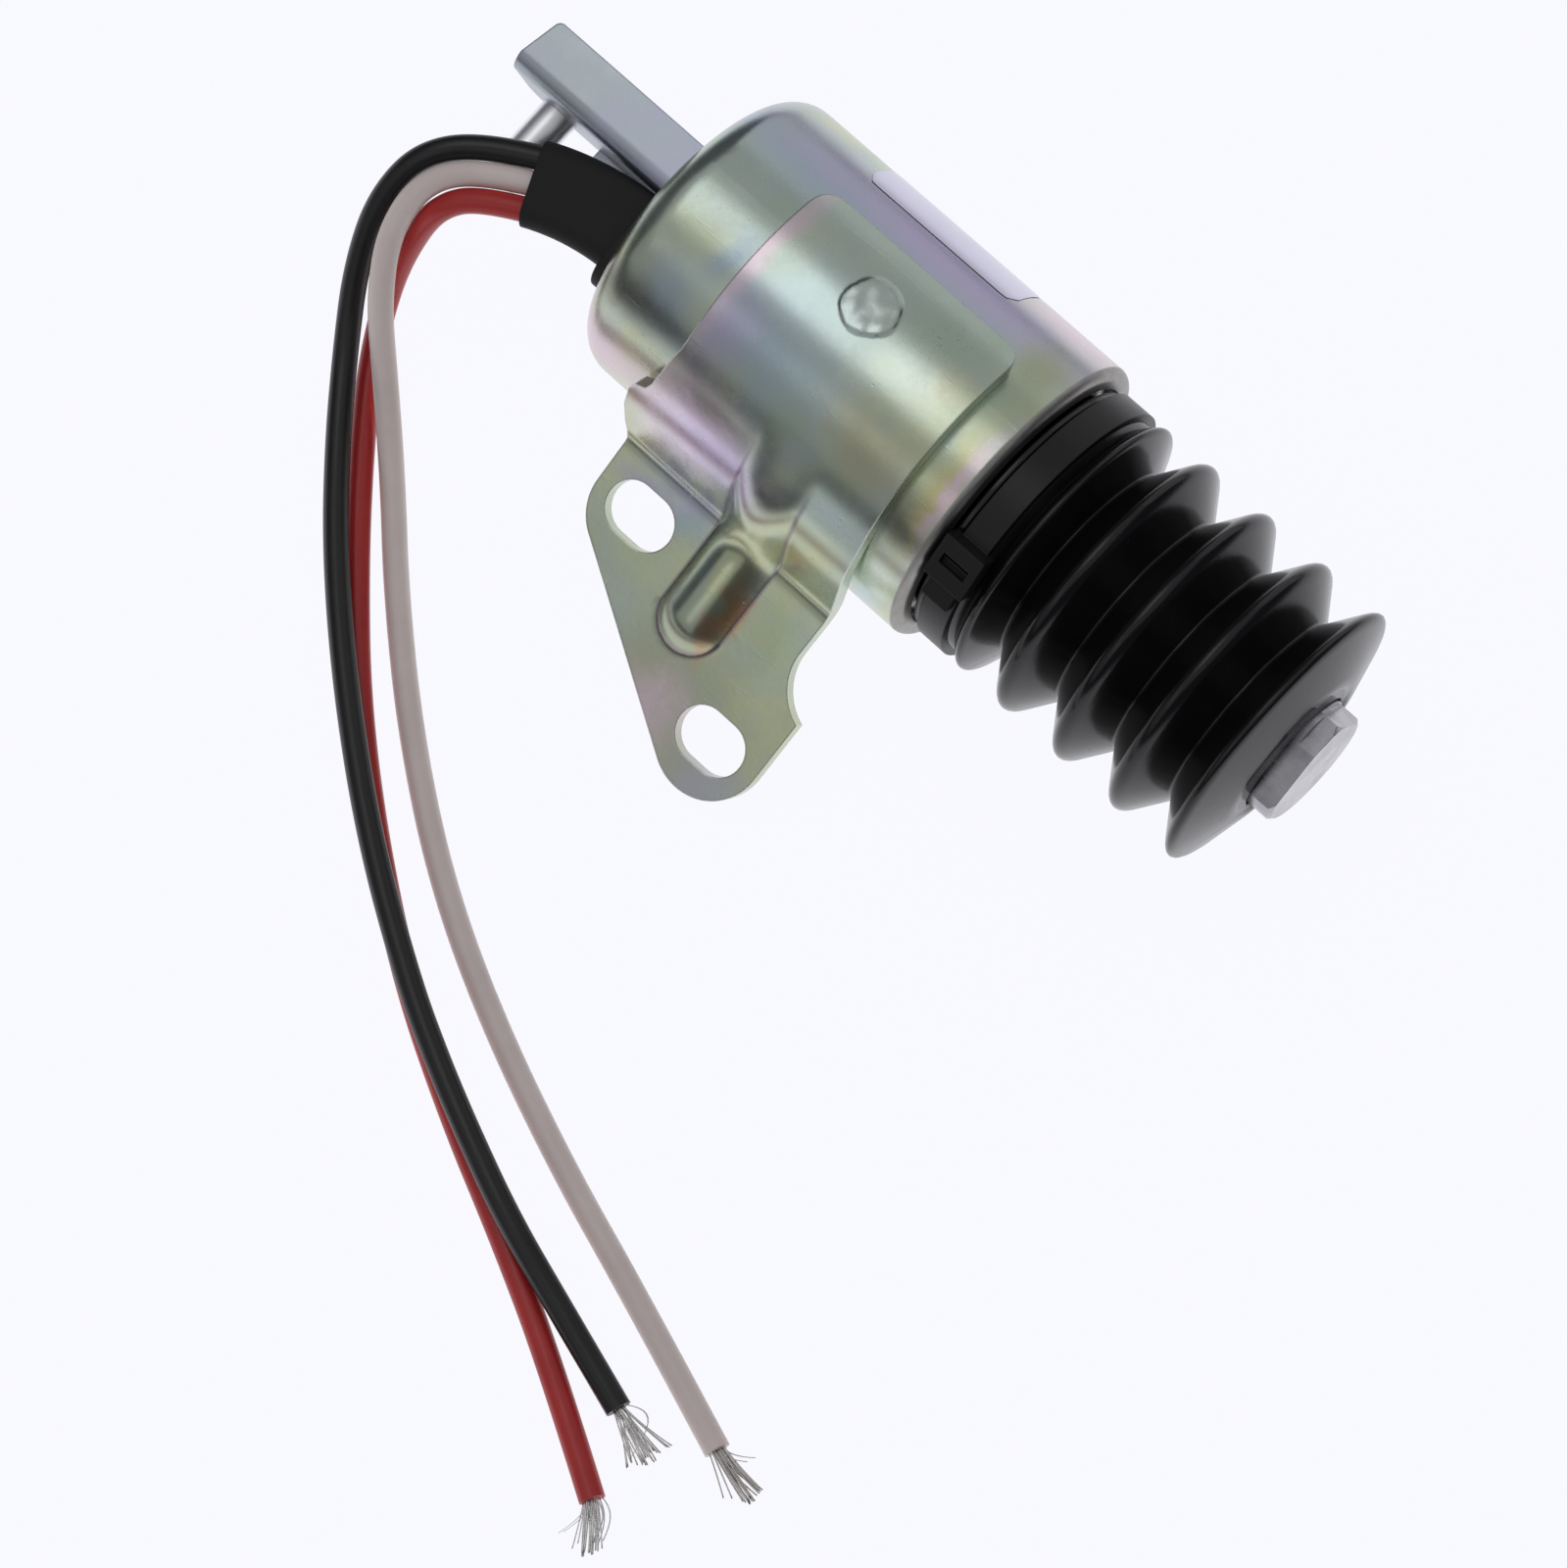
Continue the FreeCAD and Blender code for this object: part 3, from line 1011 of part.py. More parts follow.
make_can()
make_plates()
make_core_and_tube()
make_coil()
make_plunger()
make_spring()
make_boot()
make_tie()
make_bracket()
make_arm()
make_exit()
make_lead("black", -1, BLACK_ROUTE)
make_lead("white", 0, WHITE_ROUTE)
make_lead("red", 1, RED_ROUTE)
write_all()
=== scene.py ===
"""Look of the fuel shutoff solenoid: plating, rubber, leads, camera and studio light."""

import logging
import random
from bisect import bisect_right
from dataclasses import dataclass, field
from enum import Enum
from math import acos, atan2, ceil, cos, dist, hypot, pi, radians, sin, sqrt, tan
from typing import Any, Iterable, Optional, Sequence, Union

import bmesh
import bpy
from bpy.types import Material, Node, NodeSocket, NodeTree, Object
from mathutils import Matrix, Vector
from mathutils.geometry import delaunay_2d_cdt

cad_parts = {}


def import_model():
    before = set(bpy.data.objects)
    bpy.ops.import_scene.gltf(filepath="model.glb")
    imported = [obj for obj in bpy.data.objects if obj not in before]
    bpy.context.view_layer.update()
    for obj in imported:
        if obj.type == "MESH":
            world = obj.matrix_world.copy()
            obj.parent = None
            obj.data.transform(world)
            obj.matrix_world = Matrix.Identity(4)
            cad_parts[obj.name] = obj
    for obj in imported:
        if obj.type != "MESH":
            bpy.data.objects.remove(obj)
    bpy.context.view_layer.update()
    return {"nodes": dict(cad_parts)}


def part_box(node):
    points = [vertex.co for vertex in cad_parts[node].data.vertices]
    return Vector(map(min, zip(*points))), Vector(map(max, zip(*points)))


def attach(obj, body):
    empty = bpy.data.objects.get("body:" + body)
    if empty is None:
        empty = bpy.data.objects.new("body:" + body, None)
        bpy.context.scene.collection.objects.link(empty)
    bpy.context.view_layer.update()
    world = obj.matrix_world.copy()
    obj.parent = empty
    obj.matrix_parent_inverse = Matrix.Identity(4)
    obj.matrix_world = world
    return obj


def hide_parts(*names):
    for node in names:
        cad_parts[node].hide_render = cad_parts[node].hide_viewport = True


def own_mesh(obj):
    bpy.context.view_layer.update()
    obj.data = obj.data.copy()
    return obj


log = logging.getLogger("solenoid")

MM = 0.001
ROOT_BODY = "housing"
# Front end of the collar, where the boot and the spring are held, and the plunger's travel
ANCHOR = 6.0 * MM
STROKE = 14.0 * MM
# The can's side that the pieces face is turned this far about its axis, from straight up to -Y
FACING_TURN = radians(15.7)

Number = Union[float, int, "Maths"]
Colour = tuple[float, float, float]
Triple = tuple[float, float, float]
Pair = tuple[float, float]


class Maths:
    """A number that varies over a surface, written as a Python expression."""

    def __init__(self, tree: NodeTree, socket: NodeSocket) -> None:
        """Wrap one output socket of a shader tree."""
        self.tree = tree
        self.socket = socket

    def operate(self, operation: str, *values: Number, clamp: bool = False) -> "Maths":
        """Return what a Math node makes of its values, kept from 0 to 1 if wished."""
        node = self.tree.nodes.new("ShaderNodeMath")
        node.operation = operation
        node.use_clamp = clamp
        for slot, value in zip(node.inputs, values):
            if isinstance(value, Maths):
                self.tree.links.new(value.socket, slot)
            else:
                slot.default_value = float(value)
        return Maths(self.tree, node.outputs[0])

    def __add__(self, other: Number) -> "Maths":
        """Return self + other."""
        return self.operate("ADD", self, other)

    def __radd__(self, other: Number) -> "Maths":
        """Return other + self."""
        return self.operate("ADD", other, self)

    def __sub__(self, other: Number) -> "Maths":
        """Return self - other."""
        return self.operate("SUBTRACT", self, other)

    def __rsub__(self, other: Number) -> "Maths":
        """Return other - self."""
        return self.operate("SUBTRACT", other, self)

    def __mul__(self, other: Number) -> "Maths":
        """Return self * other."""
        return self.operate("MULTIPLY", self, other)

    def __rmul__(self, other: Number) -> "Maths":
        """Return other * self."""
        return self.operate("MULTIPLY", other, self)

    def __truediv__(self, other: Number) -> "Maths":
        """Return self / other."""
        return self.operate("DIVIDE", self, other)

    def __pow__(self, other: Number) -> "Maths":
        """Return self to the power other."""
        return self.operate("POWER", self, other)

    def __abs__(self) -> "Maths":
        """Return the size of self."""
        return self.operate("ABSOLUTE", self)

    def step(self, low: float, high: float) -> "Maths":
        """Return a smooth step that is 0 below low and 1 above high, or falls if high is lower."""
        edge = self.operate("MULTIPLY", self - low, 1.0 / (high - low), clamp=True)
        return edge * edge * (3.0 - 2.0 * edge)

    def band(self, middle: float, half: float) -> "Maths":
        """Return a soft bump that is 1 at the middle and 0 at half away from it."""
        return abs(self - middle).step(half, 0.0)


class Surface:
    """One material under construction, with its coordinates and helper nodes."""

    def __init__(self, name: str) -> None:
        """Make an empty material with a Principled shader."""
        self.material = bpy.data.materials.new(name)
        self.material.use_nodes = True
        self.tree = self.material.node_tree
        self.tree.nodes.clear()
        self.shader = self.node("ShaderNodeBsdfPrincipled")
        self.node("ShaderNodeOutputMaterial", _0=self.shader.outputs[0])
        self.place = self.node("ShaderNodeTexCoord").outputs["Object"]

    def node(self, kind: str, settings: Optional[dict[str, Any]] = None, **values: Any) -> Node:
        """Add any node.

        Args:
            kind: the node's type.
            settings: properties set first.
            values: values or links of its inputs, by their name with underscores or by _ and their number.

        Returns:
            The node.
        """
        node = self.tree.nodes.new(kind)
        for key, value in (settings or {}).items():
            setattr(node, key, value)
        for key, value in values.items():
            slot = node.inputs[int(key[1:])] if key[1:].isdigit() else node.inputs[key.replace("_", " ")]
            self.feed(slot, value)
        return node

    def feed(self, slot: NodeSocket, value: Any) -> None:
        """Set or link one input socket."""
        if isinstance(value, Maths):
            self.tree.links.new(value.socket, slot)
        elif isinstance(value, NodeSocket):
            self.tree.links.new(value, slot)
        elif isinstance(value, tuple) and len(value) == 3 and slot.type == "RGBA":
            slot.default_value = (*value, 1.0)
        else:
            slot.default_value = value

    def number(self, socket: NodeSocket) -> Maths:
        """Wrap a socket of this material as a number."""
        return Maths(self.tree, socket)

    def axes(self) -> tuple[Maths, ...]:
        """Return the three coordinates of the place on the part."""
        return tuple(self.number(out) for out in self.node("ShaderNodeSeparateXYZ", _0=self.place).outputs)

    def moved(self, offset: Sequence[float] = (0, 0, 0), scale: Sequence[float] = (1, 1, 1),
              turn: Sequence[float] = (0, 0, 0)) -> NodeSocket:
        """Return the place on the part after a mapping."""
        return self.node("ShaderNodeMapping", Vector=self.place, Location=tuple(offset),
                         Rotation=tuple(turn), Scale=tuple(scale)).outputs[0]

    def noise(self, scale: float, detail: float = 3.0, rough: float = 0.5, warp: float = 0.0,
              vector: Optional[NodeSocket] = None) -> Maths:
        """Return fractal noise from 0 to 1, with a scale in grains a metre."""
        node = self.node("ShaderNodeTexNoise", Vector=vector or self.place, Scale=scale,
                         Detail=detail, Roughness=rough, Distortion=warp)
        return self.number(node.outputs["Fac"])

    def ramp(self, value: Number, stops: Sequence[tuple[float, Colour]]) -> NodeSocket:
        """Return a colour read from a ramp."""
        node = self.node("ShaderNodeValToRGB", Fac=value)
        ramp = node.color_ramp.elements
        while len(ramp) < len(stops):
            ramp.new(0.5)
        for stop, (spot, colour) in zip(ramp, stops):
            stop.position, stop.color = spot, (*colour, 1.0)
        return node.outputs["Color"]

    def mix(self, amount: Number, first: Any, second: Any) -> NodeSocket:
        """Return two colours mixed by an amount."""
        return self.node("ShaderNodeMix", {"data_type": "RGBA"}, _0=amount, _6=first, _7=second).outputs[2]

    def rounded(self, radius: float) -> NodeSocket:
        """Return the normal of edges rounded by a radius."""
        return self.node("ShaderNodeBevel", {"samples": 6}, Radius=radius).outputs[0]

    def bump(self, height: Number, depth: float, soft_edge: float = 0.0) -> NodeSocket:
        """Return a normal from a height in shares of a depth, with sharp edges shown rounded."""
        values = {"Normal": self.rounded(soft_edge)} if soft_edge else {}
        return self.node("ShaderNodeBump", Height=height, Distance=depth, **values).outputs[0]

    def finish(self, colour: Any, rough: Number, **values: Any) -> Material:
        """Set the shader's own sockets and return the material."""
        for key, value in (*values.items(), ("Base_Color", colour), ("Roughness", rough)):
            self.feed(self.shader.inputs[key.replace("_", " ")], value)
        return self.material


class Tone(Enum):
    """Colours of the yellow chromate film, also used for painted reflections, highlights and shade."""

    STEEL = (0.47, 0.55, 0.50)
    STRAW = (0.56, 0.60, 0.39)
    OLIVE = (0.40, 0.43, 0.29)
    PEARL = (0.88, 0.78, 0.90)
    FROST = (0.78, 0.86, 0.76)
    UMBER = (0.17, 0.16, 0.14)
    GREEN = (0.41, 0.52, 0.35)
    GOLD = (0.64, 0.54, 0.22)
    AMBER = (0.62, 0.36, 0.18)
    ROSE = (0.72, 0.57, 0.65)
    LILAC = (0.50, 0.45, 0.63)
    SLATE = (0.36, 0.45, 0.53)
    MIST = (0.51, 0.62, 0.61)
    BRONZE = (0.30, 0.25, 0.19)


@dataclass(frozen=True)
class CanAxis:
    """Where the can's axis and front rim lie, read from the frame."""

    rim: Vector
    radius: float

    @classmethod
    def from_frame(cls) -> "CanAxis":
        """Read the can's box."""
        low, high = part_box("can")
        return cls(Vector((high.x, (low.y + high.y) / 2, (low.z + high.z) / 2)), (high.z - low.z) / 2)

    def spot(self, along: float, out: float, up: float) -> Vector:
        """Return a point from its place along the axis, out to -Y and up from it."""
        return self.rim + Vector((along, -out, up))

    def point(self, along: float, radius: float, angle: float) -> Vector:
        """Return a point from its place along the axis, radius and angle from the top to -Y."""
        return self.spot(along, radius * sin(angle), radius * cos(angle))

    def facing(self, along: float, across: float, up: float) -> Vector:
        """Return a point from the facing frame's along, across and up values."""
        level, slope = cos(FACING_TURN), sin(FACING_TURN)
        return self.spot(along, across * level + up * slope, up * level - across * slope)

    def polar(self, skin: Surface) -> dict[str, Maths]:
        """Return a surface's coordinates about the axis, in millimetres and degrees."""
        x, y, z = skin.axes()
        out = (self.rim.y - y) * 1000.0
        up = (z - self.rim.z) * 1000.0
        return {"along": (x - self.rim.x) * 1000.0, "out": out, "up": up,
                "angle": out.operate("ARCTAN2", out, up) * (180.0 / pi),
                "radius": (out * out + up * up) ** 0.5}


@dataclass(frozen=True)
class TintAndPaintedLight:
    """A patch of film colour, also used for painted reflection, highlight and shade: its middle and reach
    along the axis and round or out from it.
    """

    tone: Tone
    along: float
    along_reach: float
    other: float
    other_reach: float
    strength: float = 0.8
    measure: str = "angle"

    def lay(self, skin: Surface, where: dict[str, Maths], wander: Maths, colour: Any) -> Any:
        """Lay the patch over a colour, its edge wandering with a noise."""
        shift = (wander - 0.5) * 7.0
        along = (where["along"] + shift).band(self.along, self.along_reach)
        other = (where[self.measure] - shift * 1.4).band(self.other, self.other_reach)
        return skin.mix(along * other * self.strength, colour, self.tone.value)


@dataclass(frozen=True)
class Chromate:
    """Zinc plating with an iridescent yellow chromate film."""

    name: str
    axis: CanAxis
    tints_and_painted_light: tuple[TintAndPaintedLight, ...]
    gloss: float = 0.27
    seed: float = 0.0
    edge: float = 0.35 * MM
    fold_out: float = 22.98

    def film(self) -> tuple[Surface, dict[str, Maths], NodeSocket]:
        """Return a new material, its coordinates and the film's clouded colour with its patches of film
        colour and painted light.
        """
        skin = Surface(self.name)
        where = self.axis.polar(skin)
        cloud = skin.noise(60, 3, 0.5, 0.3, skin.moved((self.seed, 0, 0)))
        fine = skin.noise(300, 4, 0.6, 0.4)
        colour = skin.ramp(cloud + (fine - 0.5) * 0.14 - 0.02, [
            (0.00, Tone.SLATE.value), (0.22, Tone.GREEN.value), (0.40, Tone.STEEL.value),
            (0.58, Tone.STRAW.value), (0.74, Tone.STEEL.value), (0.88, Tone.LILAC.value),
            (1.00, Tone.ROSE.value)])
        wander = skin.noise(110, 4, 0.6, 0.5, skin.moved((0.2, self.seed, 0)))
        for tint in self.tints_and_painted_light:
            colour = tint.lay(skin, where, wander, colour)
        return skin, where, colour

    def dress(self, skin: Surface, colour: Any, extra: Number, dull: Number) -> Material:
        """Add pits, fine scratches, smears and edge wear with painted highlights along the edges, and finish
        the material.

        Args:
            skin: the material under construction.
            colour: the film's colour.
            extra: height added to the grain, from 0 to 1.
            dull: roughness added in places.

        Returns:
            The material.
        """
        pits = skin.node("ShaderNodeTexVoronoi", Vector=skin.place, Scale=900)
        pit = skin.number(pits.outputs["Distance"]).step(0.17, 0.05)
        rare = skin.noise(420, 2).step(0.58, 0.68)
        grain = skin.noise(1500, 4, 0.6)
        slanted = skin.moved(scale=(0.12, 1.0, 1.0), turn=(0.3, 0.2, 0.5))
        scratches = skin.noise(1100, 2, 0.5, 0, slanted).step(0.66, 0.74)
        smear = skin.noise(120, 3, 0.6, 0.8)
        rough = self.gloss + (smear - 0.5) * 0.20 + (grain - 0.5) * 0.08 + dull
        spots = skin.noise(1700, 2, 0.5).step(0.76, 0.80) * rare
        colour = skin.mix(spots * 0.5, colour, Tone.BRONZE.value)
        flat = skin.node("ShaderNodeNewGeometry").outputs["Normal"]
        turned = skin.node("ShaderNodeVectorMath", {"operation": "DOT_PRODUCT"}, _0=flat,
                           _1=skin.rounded(self.edge))
        # Edge wear and painted highlight: where the rounded normal turns from the flat one, the edges are
        # mixed to a pale colour.
        wear_and_edge_highlight = skin.number(turned.outputs["Value"]).step(0.985, 0.90)
        colour = skin.mix(wear_and_edge_highlight * 0.7, colour, (0.80, 0.78, 0.74))
        height = grain * 0.3 + scratches * 0.25 - pit * rare * 0.9 + extra
        return skin.finish(colour, rough, Metallic=1.0, Normal=skin.bump(height, 0.02 * MM, self.edge))

    def can(self) -> Material:
        """Plating of the can, with its dull crimped rim."""
        skin, where, colour = self.film()
        rim = where["along"].step(-1.25, -0.95)
        brushed = skin.noise(2400, 3, 0.7, 0, skin.moved(scale=(1.0, 0.2, 0.2)))
        crimp = skin.mix(brushed, (0.20, 0.19, 0.19), (0.42, 0.40, 0.38))
        colour = skin.mix(rim * 0.92, colour, crimp)
        return self.dress(skin, colour, rim * brushed * 0.6, rim * 0.14)

    def bracket(self) -> Material:
        """Plating of the bracket, with its weld mark, scuffs and painted shade along the rib's creases."""
        skin, where, colour = self.film()
        weld_x, weld_angle = Bracket.weld
        along, angle, out, radius = (where[key] for key in ("along", "angle", "out", "radius"))
        across = (angle - weld_angle) * radians(Bracket.outer)
        from_weld = ((along - weld_x) ** 2 + across * across) ** 0.5
        ragged = from_weld + (skin.noise(900, 3, 0.6) - 0.5) * 0.9
        on_top = radius.step(20.6, 20.9) * radius.step(23.0, 22.0)
        ring = ragged.band(3.2, 0.5) * on_top
        melted = ragged.step(3.1, 2.6) * on_top
        colour = skin.mix(ring * 0.12, colour, (0.16, 0.14, 0.11))
        colour = skin.mix(melted * 0.35, colour, (0.60, 0.63, 0.60))
        side = abs(along - Bracket.rib_x)
        reach = (out - self.fold_out) / cos(radians(Bracket.flange_angle))
        beyond = reach.operate("MAXIMUM", reach - (Bracket.rib_end - Bracket.rib_half), 0.0)
        ridge_line = ((side * side + beyond * beyond) ** 0.5).band(Bracket.rib_half, 0.45)
        # Painted shade: a dark purple line along the creases where the rib meets the sheet.
        painted_crease_shade = ridge_line * out.step(17.5, 20.5)
        colour = skin.mix(painted_crease_shade * 0.55, colour, (0.20, 0.12, 0.20))
        near = along.band(-13.0, 3.6) * angle.band(-4.0, 12.0)
        scuff = skin.noise(1300, 4, 0.75, 1.5).step(0.60, 0.64) * near
        colour = skin.mix(scuff * 0.85, colour, (0.06, 0.06, 0.055))
        lumps = skin.noise(900, 3, 0.6) * melted + ring * 0.3
        return self.dress(skin, colour, lumps, scuff * 0.15)


@dataclass(frozen=True)
class PlainZinc:
    """Pale zinc strip with faint scuffs along it."""

    name: str

    def material(self) -> Material:
        """Build the finish."""
        skin = Surface(self.name)
        cloud = skin.noise(90, 3, 0.55, 0.5)
        colour = skin.mix(cloud.step(0.35, 0.7), (0.40, 0.44, 0.47), (0.46, 0.48, 0.58))
        tint = skin.noise(35, 2).step(0.55, 0.75)
        colour = skin.mix(tint * 0.5, colour, (0.48, 0.48, 0.34))
        drawn = skin.moved(scale=(0.25, 1.0, 1.0))
        scuff = skin.noise(420, 4, 0.7, 0, drawn).step(0.70, 0.76)
        colour = skin.mix(scuff * 0.6, colour, (0.20, 0.20, 0.23))
        grain = skin.noise(1300, 3, 0.6)
        return skin.finish(colour, 0.36 + (cloud - 0.5) * 0.2, Metallic=1.0,
                           Normal=skin.bump(grain, 0.012 * MM, 0.3 * MM))


@dataclass(frozen=True)
class Rubber:
    """Black rubber, nylon or resin."""

    name: str
    gloss: float = 0.3
    shade: float = 0.008
    grain_depth: float = 0.01 * MM
    grain_scale: float = 900.0
    glint: float = 0.3
    parting_angle: float = 113.0
    parting_depth: float = 0.12 * MM

    def material(self, axis: Optional[CanAxis] = None) -> Material:
        """Build the finish, with dust and the mould's parting line if the moulded piece's axis is given."""
        skin = Surface(self.name)
        bloom = skin.noise(60, 3, 0.6, 0.5)
        specks = skin.noise(2600, 2, 0.5).step(0.75, 0.79)
        height = skin.noise(self.grain_scale, 3, 0.6) * (self.grain_depth / self.parting_depth)
        haze = bloom.step(0.45, 0.8) * 0.5
        rough = self.gloss + (bloom - 0.5) * 0.16
        if axis:
            wave = (skin.noise(160, 2) - 0.5) * 2.2
            height = height - (axis.polar(skin)["angle"] + wave).band(self.parting_angle, 0.5)
            dust = skin.noise(500, 5, 0.7, 0.6).step(0.60, 0.80)
            haze = haze + dust * 0.25
            rough = rough + dust * 0.14
        colour = skin.mix(haze, (self.shade,) * 3, (self.shade * 2.2, self.shade * 2.2, self.shade * 2.5))
        colour = skin.mix(specks * 0.3, colour, (0.12, 0.12, 0.13))
        return skin.finish(colour, rough, Specular_IOR_Level=self.glint,
                           Normal=skin.bump(height, self.parting_depth, 0.2 * MM))


@dataclass(frozen=True)
class Insulation:
    """Extruded lead insulation."""

    name: str
    colour: Colour
    dark: Colour
    gloss: float = 0.42

    def material(self) -> Material:
        """Build the finish."""
        skin = Surface(self.name)
        cloud = skin.noise(160, 3, 0.6, 0.4)
        colour = skin.mix(cloud.step(0.3, 0.75) * 0.6, self.colour, self.dark)
        grain = skin.noise(1600, 3, 0.6)
        return skin.finish(colour, self.gloss + (cloud - 0.5) * 0.12, Normal=skin.bump(grain, 0.008 * MM))


@dataclass(frozen=True)
class BareMetal:
    """Bare metal with a fine grain."""

    name: str
    colour: Colour
    dark: Colour
    gloss: float = 0.3
    stretch: Triple = (1.0, 1.0, 1.0)
    grain: float = 1.0

    def material(self) -> Material:
        """Build the finish."""
        skin = Surface(self.name)
        lines = skin.noise(1400, 4, 0.65, 0, skin.moved(scale=self.stretch))
        cloud = skin.noise(150, 3, 0.6)
        wear_and_edge_highlight = (cloud.step(0.35, 0.75) * 0.7 + lines * 0.25) * self.grain
        colour = skin.mix(wear_and_edge_highlight, self.colour, self.dark)
        return skin.finish(colour, self.gloss + (lines - 0.5) * 0.2 * self.grain, Metallic=1.0,
                           Normal=skin.bump(lines, 0.01 * MM * self.grain, 0.15 * MM))


class Ends(Enum):
    """What happens at the first and the last row of a loft."""

    OPEN = "left open"
    CAPPED = "closed with one face each"
    JOINED = "joined to each other"


class MeshBuilder:
    """Points and faces gathered into one mesh."""

    def __init__(self) -> None:
        """Start empty."""
        self.points: list[Vector] = []
        self.faces: list[tuple[int, ...]] = []

    def row(self, points: Iterable[Vector]) -> list[int]:
        """Add a row of points and return their numbers."""
        start = len(self.points)
        self.points.extend(points)
        return list(range(start, len(self.points)))

    def loft(self, lines: Iterable[Iterable[Vector]], ends: Ends = Ends.CAPPED, around: bool = True) -> None:
        """Join rows of points with quads.

        Args:
            lines: the rows' points, as many in each.
            ends: what happens at the first and the last row.
            around: close each row to a ring.
        """
        rows = [self.row(points) for points in lines]
        if ends is Ends.CAPPED:
            self.faces += [tuple(rows[0]), tuple(rows[-1])]
        for first, second in zip(rows, rows[1:] + (rows[:1] if ends is Ends.JOINED else [])):
            for i in range(len(first) if around else len(first) - 1):
                after = (i + 1) % len(first)
                self.faces.append((first[i], first[after], second[after], second[i]))

    def build(self, name: str, material: Material, crisp: float = pi) -> Object:
        """Make the object, shaded smooth and with outward faces.

        Args:
            name: the object's name.
            material: its material.
            crisp: angle between faces from which their edge is kept sharp.

        Returns:
            The new object.
        """
        mesh = bpy.data.meshes.new(name)
        mesh.from_pydata([tuple(p) for p in self.points], [], self.faces)
        mesh.validate()
        work = bmesh.new()
        work.from_mesh(mesh)
        bmesh.ops.remove_doubles(work, verts=work.verts, dist=1e-7)
        bmesh.ops.recalc_face_normals(work, faces=work.faces)
        for edge in work.edges:
            edge.smooth = edge.calc_face_angle(0.0) < crisp
        for face in work.faces:
            face.smooth = True
        work.to_mesh(mesh)
        work.free()
        mesh.materials.append(material)
        return shown(name, mesh)


def shown(name: str, data: Any) -> Object:
    """Return a new object in the scene, made from its data."""
    piece = bpy.data.objects.new(name, data)
    bpy.context.scene.collection.objects.link(piece)
    return piece


def settle(piece: Object, slot: str, *nodes: str) -> Object:
    """Put a new piece on the housing and hide the solids that it replaces."""
    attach(piece, ROOT_BODY)
    if nodes:
        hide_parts(*nodes)
    log.info("%s rides on %s", piece.name, ROOT_BODY)
    return piece


def shorten(piece: Object, axis: CanAxis, end: float) -> None:
    """Give a piece that reaches from the collar to a place along the axis its own mesh."""
    keep = (end - ANCHOR - STROKE) / (end - ANCHOR)
    tuple(axis.point(ANCHOR, 0, 0))
    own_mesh(piece)


def full_turn(count: int) -> list[float]:
    """Return evenly spaced angles of a full turn."""
    return [2 * pi * i / count for i in range(count)]


def smooth_line(corners: Sequence[Pair], rounds: Sequence[float], steps: int = 6) -> list[Pair]:
    """Round a flat line's corners.

    Args:
        corners: the line's corners.
        rounds: distance from each corner where its curve starts.
        steps: parts of each curve.

    Returns:
        The rounded line's points.
    """
    line = [corners[0]]
    for before, here, after, size in zip(corners, corners[1:], corners[2:], rounds[1:]):
        if size <= 0:
            line.append(here)
            continue
        tip = Vector(here)
        into, out = Vector(before) - tip, Vector(after) - tip
        start = tip + into.normalized() * min(size, into.length * 0.5)
        end = tip + out.normalized() * min(size, out.length * 0.5)
        for share in (i / steps for i in range(steps + 1)):
            spot = start * (1 - share) ** 2 + tip * 2 * share * (1 - share) + end * share ** 2
            line.append((spot.x, spot.y))
    return line + [corners[-1]]


def circle(middle: Pair, r: float, start: float, end: float, step: float = 0.45) -> list[Pair]:
    """Return points on a circle, from one angle to another."""
    count = max(3, int(abs(end - start) * r / step))
    angles = (start + (end - start) * i / count for i in range(count + 1))
    return [(middle[0] + r * cos(a), middle[1] + r * sin(a)) for a in angles]


class Line:
    """Flat line with its length counted along it."""

    def __init__(self, points: Sequence[Pair], step: float = 0.5) -> None:
        """Divide the line's runs that are longer than a step."""
        self.points = [points[0]]
        for (a, b), (c, d) in zip(points, points[1:]):
            parts = max(1, ceil(hypot(c - a, d - b) / step))
            self.points += [(a + (c - a) * i / parts, b + (d - b) * i / parts) for i in range(1, parts + 1)]
        self.marks = [0.0]
        for (a, b), (c, d) in zip(self.points, self.points[1:]):
            self.marks.append(self.marks[-1] + hypot(c - a, d - b))

    def nearest(self, spot: Pair) -> float:
        """Return the length at the line's point nearest to a spot."""
        return min(zip(self.points, self.marks), key=lambda pair: dist(pair[0], spot))[1]

    def at(self, mark: float) -> tuple[Vector, Vector]:
        """Return the point at a length and the direction there."""
        i = min(max(bisect_right(self.marks, mark) - 1, 0), len(self.marks) - 2)
        start, end = Vector(self.points[i]), Vector(self.points[i + 1])
        share = (mark - self.marks[i]) / (self.marks[i + 1] - self.marks[i])
        return start + (end - start) * share, (end - start).normalized()


